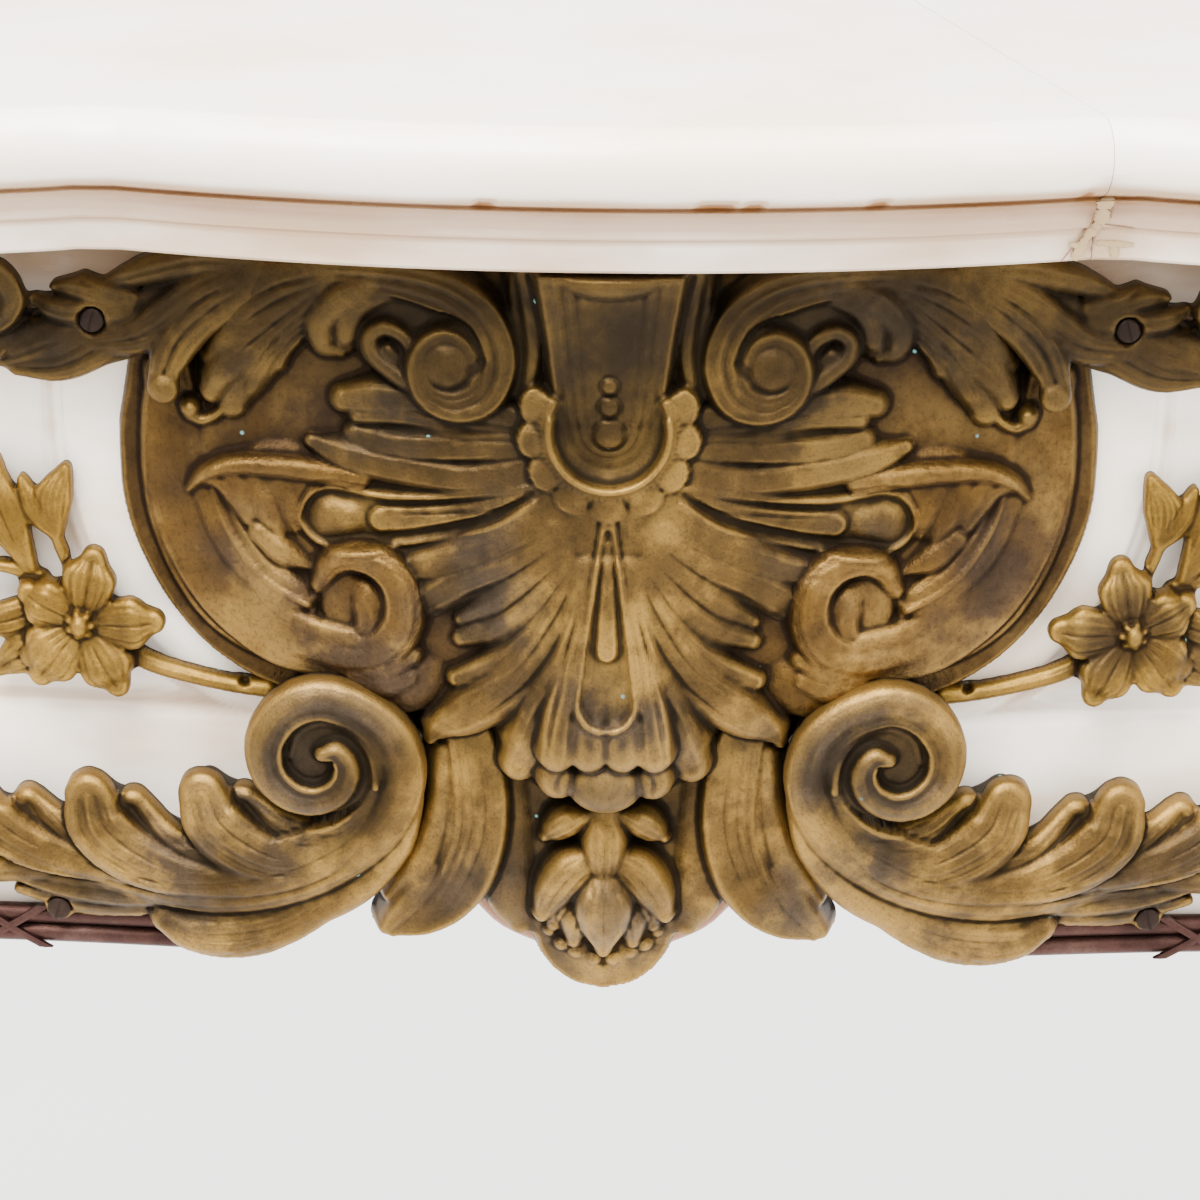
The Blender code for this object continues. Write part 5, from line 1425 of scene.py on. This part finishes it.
def build_shelf(stone):
    """The shelf's two stones, which meet at a joint that slants back from the right-hand cusp."""
    joint_back = CUSP_X - JOINT_SLANT

    def main_back(x):
        return -HALF_LENGTH + (x + HALF_LENGTH) * (joint_back + HALF_LENGTH) / (CUSP_X + HALF_LENGTH)

    def right_back(x):
        share = (HALF_LENGTH - x) / (HALF_LENGTH - CUSP_X)
        return HALF_LENGTH - share * (HALF_LENGTH - joint_back - JOINT_GAP)

    left = stations(-HALF_LENGTH, -CUSP_X - CUSP_FLAT, 0.006) + stations(-CUSP_X, CUSP_X, 0.0035)
    right = [CUSP_X + JOINT_GAP] + stations(CUSP_X + CUSP_FLAT, HALF_LENGTH, 0.006)
    dress(shelf_piece("shelf_main_dressed", left, main_back), stone, "shelf_main")
    dress(shelf_piece("shelf_right_dressed", right, right_back), stone, "shelf_right")


FRIEZE_EDGE = [
    (0, -164), (26, -154), (43, -146), (55, -134), (70, -120), (88, -114), (108, -119), (132, -134),
    (160, -149), (190, -156), (230, -157),
]


def frieze_bottom(x):
    """Height of the frieze's lower edge, in millimetres from the shell's middle."""
    path = smooth_path(FRIEZE_EDGE, 200)
    return np.interp(np.abs(x), path[:, 0], path[:, 1])


FACE_ROWS = 168
FOOT_RADIUS = 8
FOOT_STEPS = 7
COVE_RADIUS = 12
COVE_STEPS = 9
COVE_FOOT = 15
BACK_STAIN = 0.2


def frieze_stain_and_shade(x, bottom, face, zs):
    """Staining and painted shade up the frieze: orange at its foot, painted shade in tan under the shelf, and
    staining in the moulding and by the bronze.
    """
    point = 3.4 * np.exp(-(((abs(x) - 38) / 22) ** 2))
    low = (1.3 + point) * (1 - ease(zs, bottom + 1, bottom + 16))
    # Painted shade: tan on the frieze's top under the shelf's overhang.
    under = 0.8 * ease(zs, FRIEZE_TOP - 38, FRIEZE_TOP - 10)
    level = np.concatenate([np.zeros(FOOT_STEPS), face, np.zeros(COVE_STEPS + 3)])
    mould = 0.5 * np.exp(-((level + 2.4) / 0.8) ** 2)
    about = 0.5 * np.exp(-(((abs(x) - 130) / 60) ** 2)) * ease(-zs, 10, 90)
    stain_and_shade = low + under + mould + about
    stain_and_shade[-2:] = BACK_STAIN
    return stain_and_shade


def build_frieze(stone):
    """The bowed face with its cove, sunk panels and rounded lower edge, as one closed body."""
    spans = ((-500, -240, 5), (-238.8, -130, 1.3), (-126, 126, 4), (130, 238.8, 1.3), (240, 500, 5))
    foot_turn = np.radians(np.linspace(90, 0, FOOT_STEPS + 1)[:-1])
    foot_out = -FOOT_RADIUS * (1 - np.cos(foot_turn))
    cove_turn = np.radians(np.linspace(0, 90, COVE_STEPS + 1)[1:])
    cove_out = COVE_RADIUS * (1 - np.cos(cove_turn))
    cove_z = FRIEZE_TOP - COVE_FOOT + COVE_RADIUS * np.sin(cove_turn)
    rings = []
    stains_and_shade = []
    for x in [x for span in spans for x in stations(*span)]:
        bottom = float(frieze_bottom(x))
        z = np.linspace(bottom + FOOT_RADIUS, FRIEZE_TOP - COVE_FOOT, FACE_ROWS)
        face = stone_face(np.full(FACE_ROWS, x), z)
        foot_z = bottom + FOOT_RADIUS * (1 - np.sin(foot_turn))
        out = np.concatenate([foot_out, face, cove_out, [COVE_RADIUS, -FRIEZE_THICK, -FRIEZE_THICK]])
        zs = np.concatenate([foot_z, z, cove_z, [FRIEZE_TOP, FRIEZE_TOP, bottom]])
        ring = place(np.full(len(zs), x), zs, out)
        ring[-2:, 1] = -(SHELF_BACK_TO_FRIEZE - FRIEZE_THICK / 1000)
        rings.append(ring)
        stains_and_shade.append(frieze_stain_and_shade(x, bottom, face, zs))
    dress(sheet_object("frieze_dressed", np.array(rings), np.array(stains_and_shade)), stone, "frieze")


# The rails in millimetres: two reeds one over the other, and the crossed ribbons that bind them
RAIL_START, RAIL_END = 152.0, 500.0
RAIL_MIDDLE = -149.5
ROD_RADIUS = 4.2
ROD_SEAT = 0.6
ROD_SIDES = 12
TIES = (248, 344, 440)
TIE_SLANT = 15
TIE_REACH = 9.4
TIE_OUT = 9.2
TIE_CROWN = 1.2
TIE_SECTION = ((-2.8, -1.6), (2.8, -1.6), (2.8, 0.5), (0, 0.9), (-2.8, 0.5))


def rail_rods(side):
    """Rings of points round the two reeds along the frieze's lower edge."""
    turn = np.linspace(0, 2 * math.pi, ROD_SIDES, endpoint=False)
    out = ROD_RADIUS + ROD_SEAT + ROD_RADIUS * np.cos(turn)
    xs = stations(RAIL_START, RAIL_END, 4)
    rods = []
    for up in (1, -1):
        z = RAIL_MIDDLE + up * ROD_RADIUS + ROD_RADIUS * np.sin(turn)
        grid = np.stack([place(np.full(ROD_SIDES, side * x), z, out) for x in xs])
        rods.append(grid[::side])
    return rods


def rail_ties(side):
    """Rings of points round the crossed ribbons."""
    ribbons = []
    for middle, slant in [(middle, slant) for middle in TIES for slant in (-1, 1)]:
        grid = []
        for share in np.linspace(-1, 1, 25):
            x = side * (middle + slant * TIE_SLANT * share)
            out = TIE_OUT + TIE_CROWN * math.cos(share * math.pi / 2)
            grid.append([(x + a, RAIL_MIDDLE + TIE_REACH * share, out + b) for a, b in TIE_SECTION])
        ribbons.append(place(*np.moveaxis(np.array(grid), -1, 0)))
    return ribbons


def build_rail(side, name):
    """One rail as a single object."""
    pieces = [sheet_object(name, grid) for grid in rail_rods(side) + rail_ties(side)]
    bm = bmesh.new()
    for piece in pieces:
        bm.from_mesh(piece.data)
    bmesh.ops.recalc_face_normals(bm, faces=bm.faces)
    bm.to_mesh(pieces[0].data)
    bm.free()
    for piece in pieces[1:]:
        bpy.data.objects.remove(piece)
    return pieces[0]


# The screws in millimetres: (radius, height over the seat) from the dished top to the back
SCREW_PROFILE = ((3.4, 0.75), (4.3, 0.5), (4.8, 0.0), (4.6, -1.5))
SCREW_SIDES = 36
SLOT_SIZE = (12, 1.2, 2.0)
SLOT_HEIGHT = 1.2
SLOT_TILT = math.radians(-72)


def object_from(bm, name):
    """An object from a bmesh, which is freed."""
    mesh = bpy.data.meshes.new(name)
    bm.to_mesh(mesh)
    bm.free()
    obj = bpy.data.objects.new(name, mesh)
    bpy.context.scene.collection.objects.link(obj)
    return obj


def screw_head(name):
    bm = bmesh.new()
    turns = [2 * math.pi * k / SCREW_SIDES for k in range(SCREW_SIDES)]
    rings = [[bm.verts.new((r * math.cos(turn), r * math.sin(turn), level)) for turn in turns]
             for r, level in SCREW_PROFILE]
    for a, b in zip(rings, rings[1:]):
        for k in range(SCREW_SIDES):
            j = (k + 1) % SCREW_SIDES
            bm.faces.new((a[k], b[k], b[j], a[j]))
    bm.faces.new(rings[0])
    bm.faces.new(rings[-1][::-1])
    bmesh.ops.recalc_face_normals(bm, faces=bm.faces)
    return object_from(bm, name)


def slot_cutter():
    bm = bmesh.new()
    bmesh.ops.create_cube(bm, size=1.0)
    bmesh.ops.scale(bm, vec=SLOT_SIZE, verts=bm.verts)
    bmesh.ops.translate(bm, vec=(0, 0, SLOT_HEIGHT), verts=bm.verts)
    return object_from(bm, "slot")


def build_screw(spot, side, name):
    """A slotted countersunk head with a rounded rim, turned and put in its place on the bow."""
    obj = screw_head(name)
    cutter = slot_cutter()
    modifier = obj.modifiers.new("slot", "BOOLEAN")
    modifier.object = cutter
    modifier.operation = "DIFFERENCE"
    modifier.solver = "EXACT"
    bpy.context.view_layer.update()
    made = bpy.data.meshes.new_from_object(obj.evaluated_get(bpy.context.evaluated_depsgraph_get()))
    obj.modifiers.clear()
    obj.data = made
    bpy.data.objects.remove(cutter)
    left_x, z, out = spot
    cos, sin = math.cos(SLOT_TILT * side), math.sin(SLOT_TILT * side)
    for vertex in made.vertices:
        a, b, level = vertex.co
        x = -side * left_x + a * cos - b * sin
        vertex.co = place(np.array(x), np.array(z + a * sin + b * cos), np.array(out + level))
    made.shade_smooth()
    made.set_sharp_from_angle(angle=SCREW_SMOOTH_ANGLE)
    made.materials.clear()
    return obj


def build_bronzes():
    aged = bronze("aged_bronze", AGED)
    ground = bronze("granulated_bronze", GRANULATED, GROUND_GRAIN, GRAIN_DEPTH + 0.5)
    gilt = bronze("gilt_bronze", GILT)
    red = bronze("red_bronze", RED)
    steel = bronze("screw_steel", STEEL)
    for piece in build_cartouche():
        dress(piece, ground if piece.name == "cartouche_ground" else aged, "cartouche")
    castings = (
        ("scroll", build_scroll(), aged, "aged_bronze", 7.0),
        ("upper_leaf", build_upper_leaf(), aged, "aged_bronze", 6.0),
        ("flower_spray", build_spray(), gilt, "gilt_bronze", 4.0),
    )
    for name, relief, material, slot, thick in castings:
        for side in ("left", "right"):
            piece = relief_object(f"{name}_{side}_dressed", relief, flip=side == "right", thick=thick)
            dress(piece, material, f"{name}_{side}")
    for side, sign in (("left", -1), ("right", 1)):
        dress(build_rail(sign, f"rail_{side}_dressed"), red, f"rail_{side}")
        for level in ("upper", "lower"):
            screw = build_screw(SCREWS[level], sign, f"{level}_screw_{side}_dressed")
            dress(screw, steel, f"{level}_screw_{side}")


# Camera, light and floor

PHOTO_SIDE = 1200
FOCAL_PIXELS = 3190.0
SENSOR_WIDTH = 36.0
CAMERA_DISTANCE = 1.276
CAMERA_DOWN = math.radians(19.0)
CAMERA_ROLL = math.radians(0.6)
TARGET = Vector((-0.0028, -0.255, -0.176))
FLOOR_Z = -1.05
MOUNTS_MIDDLE = (0, -0.28, -0.17)
WARM = (1.0, 0.965, 0.92)
NEAR_WHITE = (1.0, 0.985, 0.96)


def add_camera():
    data = bpy.data.cameras.new("camera")
    data.sensor_width = SENSOR_WIDTH
    data.lens = SENSOR_WIDTH * FOCAL_PIXELS / PHOTO_SIDE
    data.clip_start = 0.05
    data.clip_end = 60.0
    camera = bpy.data.objects.new("camera", data)
    bpy.context.scene.collection.objects.link(camera)
    away = Vector((0, -math.cos(CAMERA_DOWN), math.sin(CAMERA_DOWN)))
    camera.location = TARGET + away * CAMERA_DISTANCE
    camera.rotation_euler = (-away).to_track_quat("-Z", "Y").to_euler()
    camera.rotation_euler.rotate_axis("Z", CAMERA_ROLL)
    bpy.context.scene.camera = camera


def area_light(name, location, target, size, power, colour):
    data = bpy.data.lights.new(name, "AREA")
    data.shape = "RECTANGLE"
    data.size, data.size_y = size
    data.energy = power
    data.color = colour
    light = bpy.data.objects.new(name, data)
    light.location = location
    light.rotation_euler = (Vector(target) - Vector(location)).to_track_quat("-Z", "Y").to_euler()
    bpy.context.scene.collection.objects.link(light)


def add_light():
    area_light("window", (-0.7, -1.6, 1.9), MOUNTS_MIDDLE, (1.6, 1.2), 165, WARM)
    area_light("fill", (1.6, -1.5, 0.4), MOUNTS_MIDDLE, (1.2, 1.6), 28, WARM)
    area_light("overhead", (0.0, -0.7, 1.8), (0, -0.2, 0), (2.0, 1.4), 125, NEAR_WHITE)
    world = bpy.data.worlds.new("studio")
    bpy.context.scene.world = world
    world.use_nodes = True
    background = world.node_tree.nodes["Background"]
    background.inputs["Color"].default_value = (0.95, 0.94, 0.93, 1.0)
    background.inputs["Strength"].default_value = 2.7


def add_floor():
    bpy.ops.mesh.primitive_plane_add(size=14.0, location=(0, 0, FLOOR_Z))
    floor = bpy.context.object
    floor.name = "floor"
    floor.data.materials.append(plain("pale_floor", (0.86, 0.85, 0.85), 0.8))


def main():
    add_camera()
    add_light()
    add_floor()
    stone = onyx("white_onyx")
    build_shelf(stone)
    build_filler()
    build_frieze(stone)
    build_bronzes()


main()
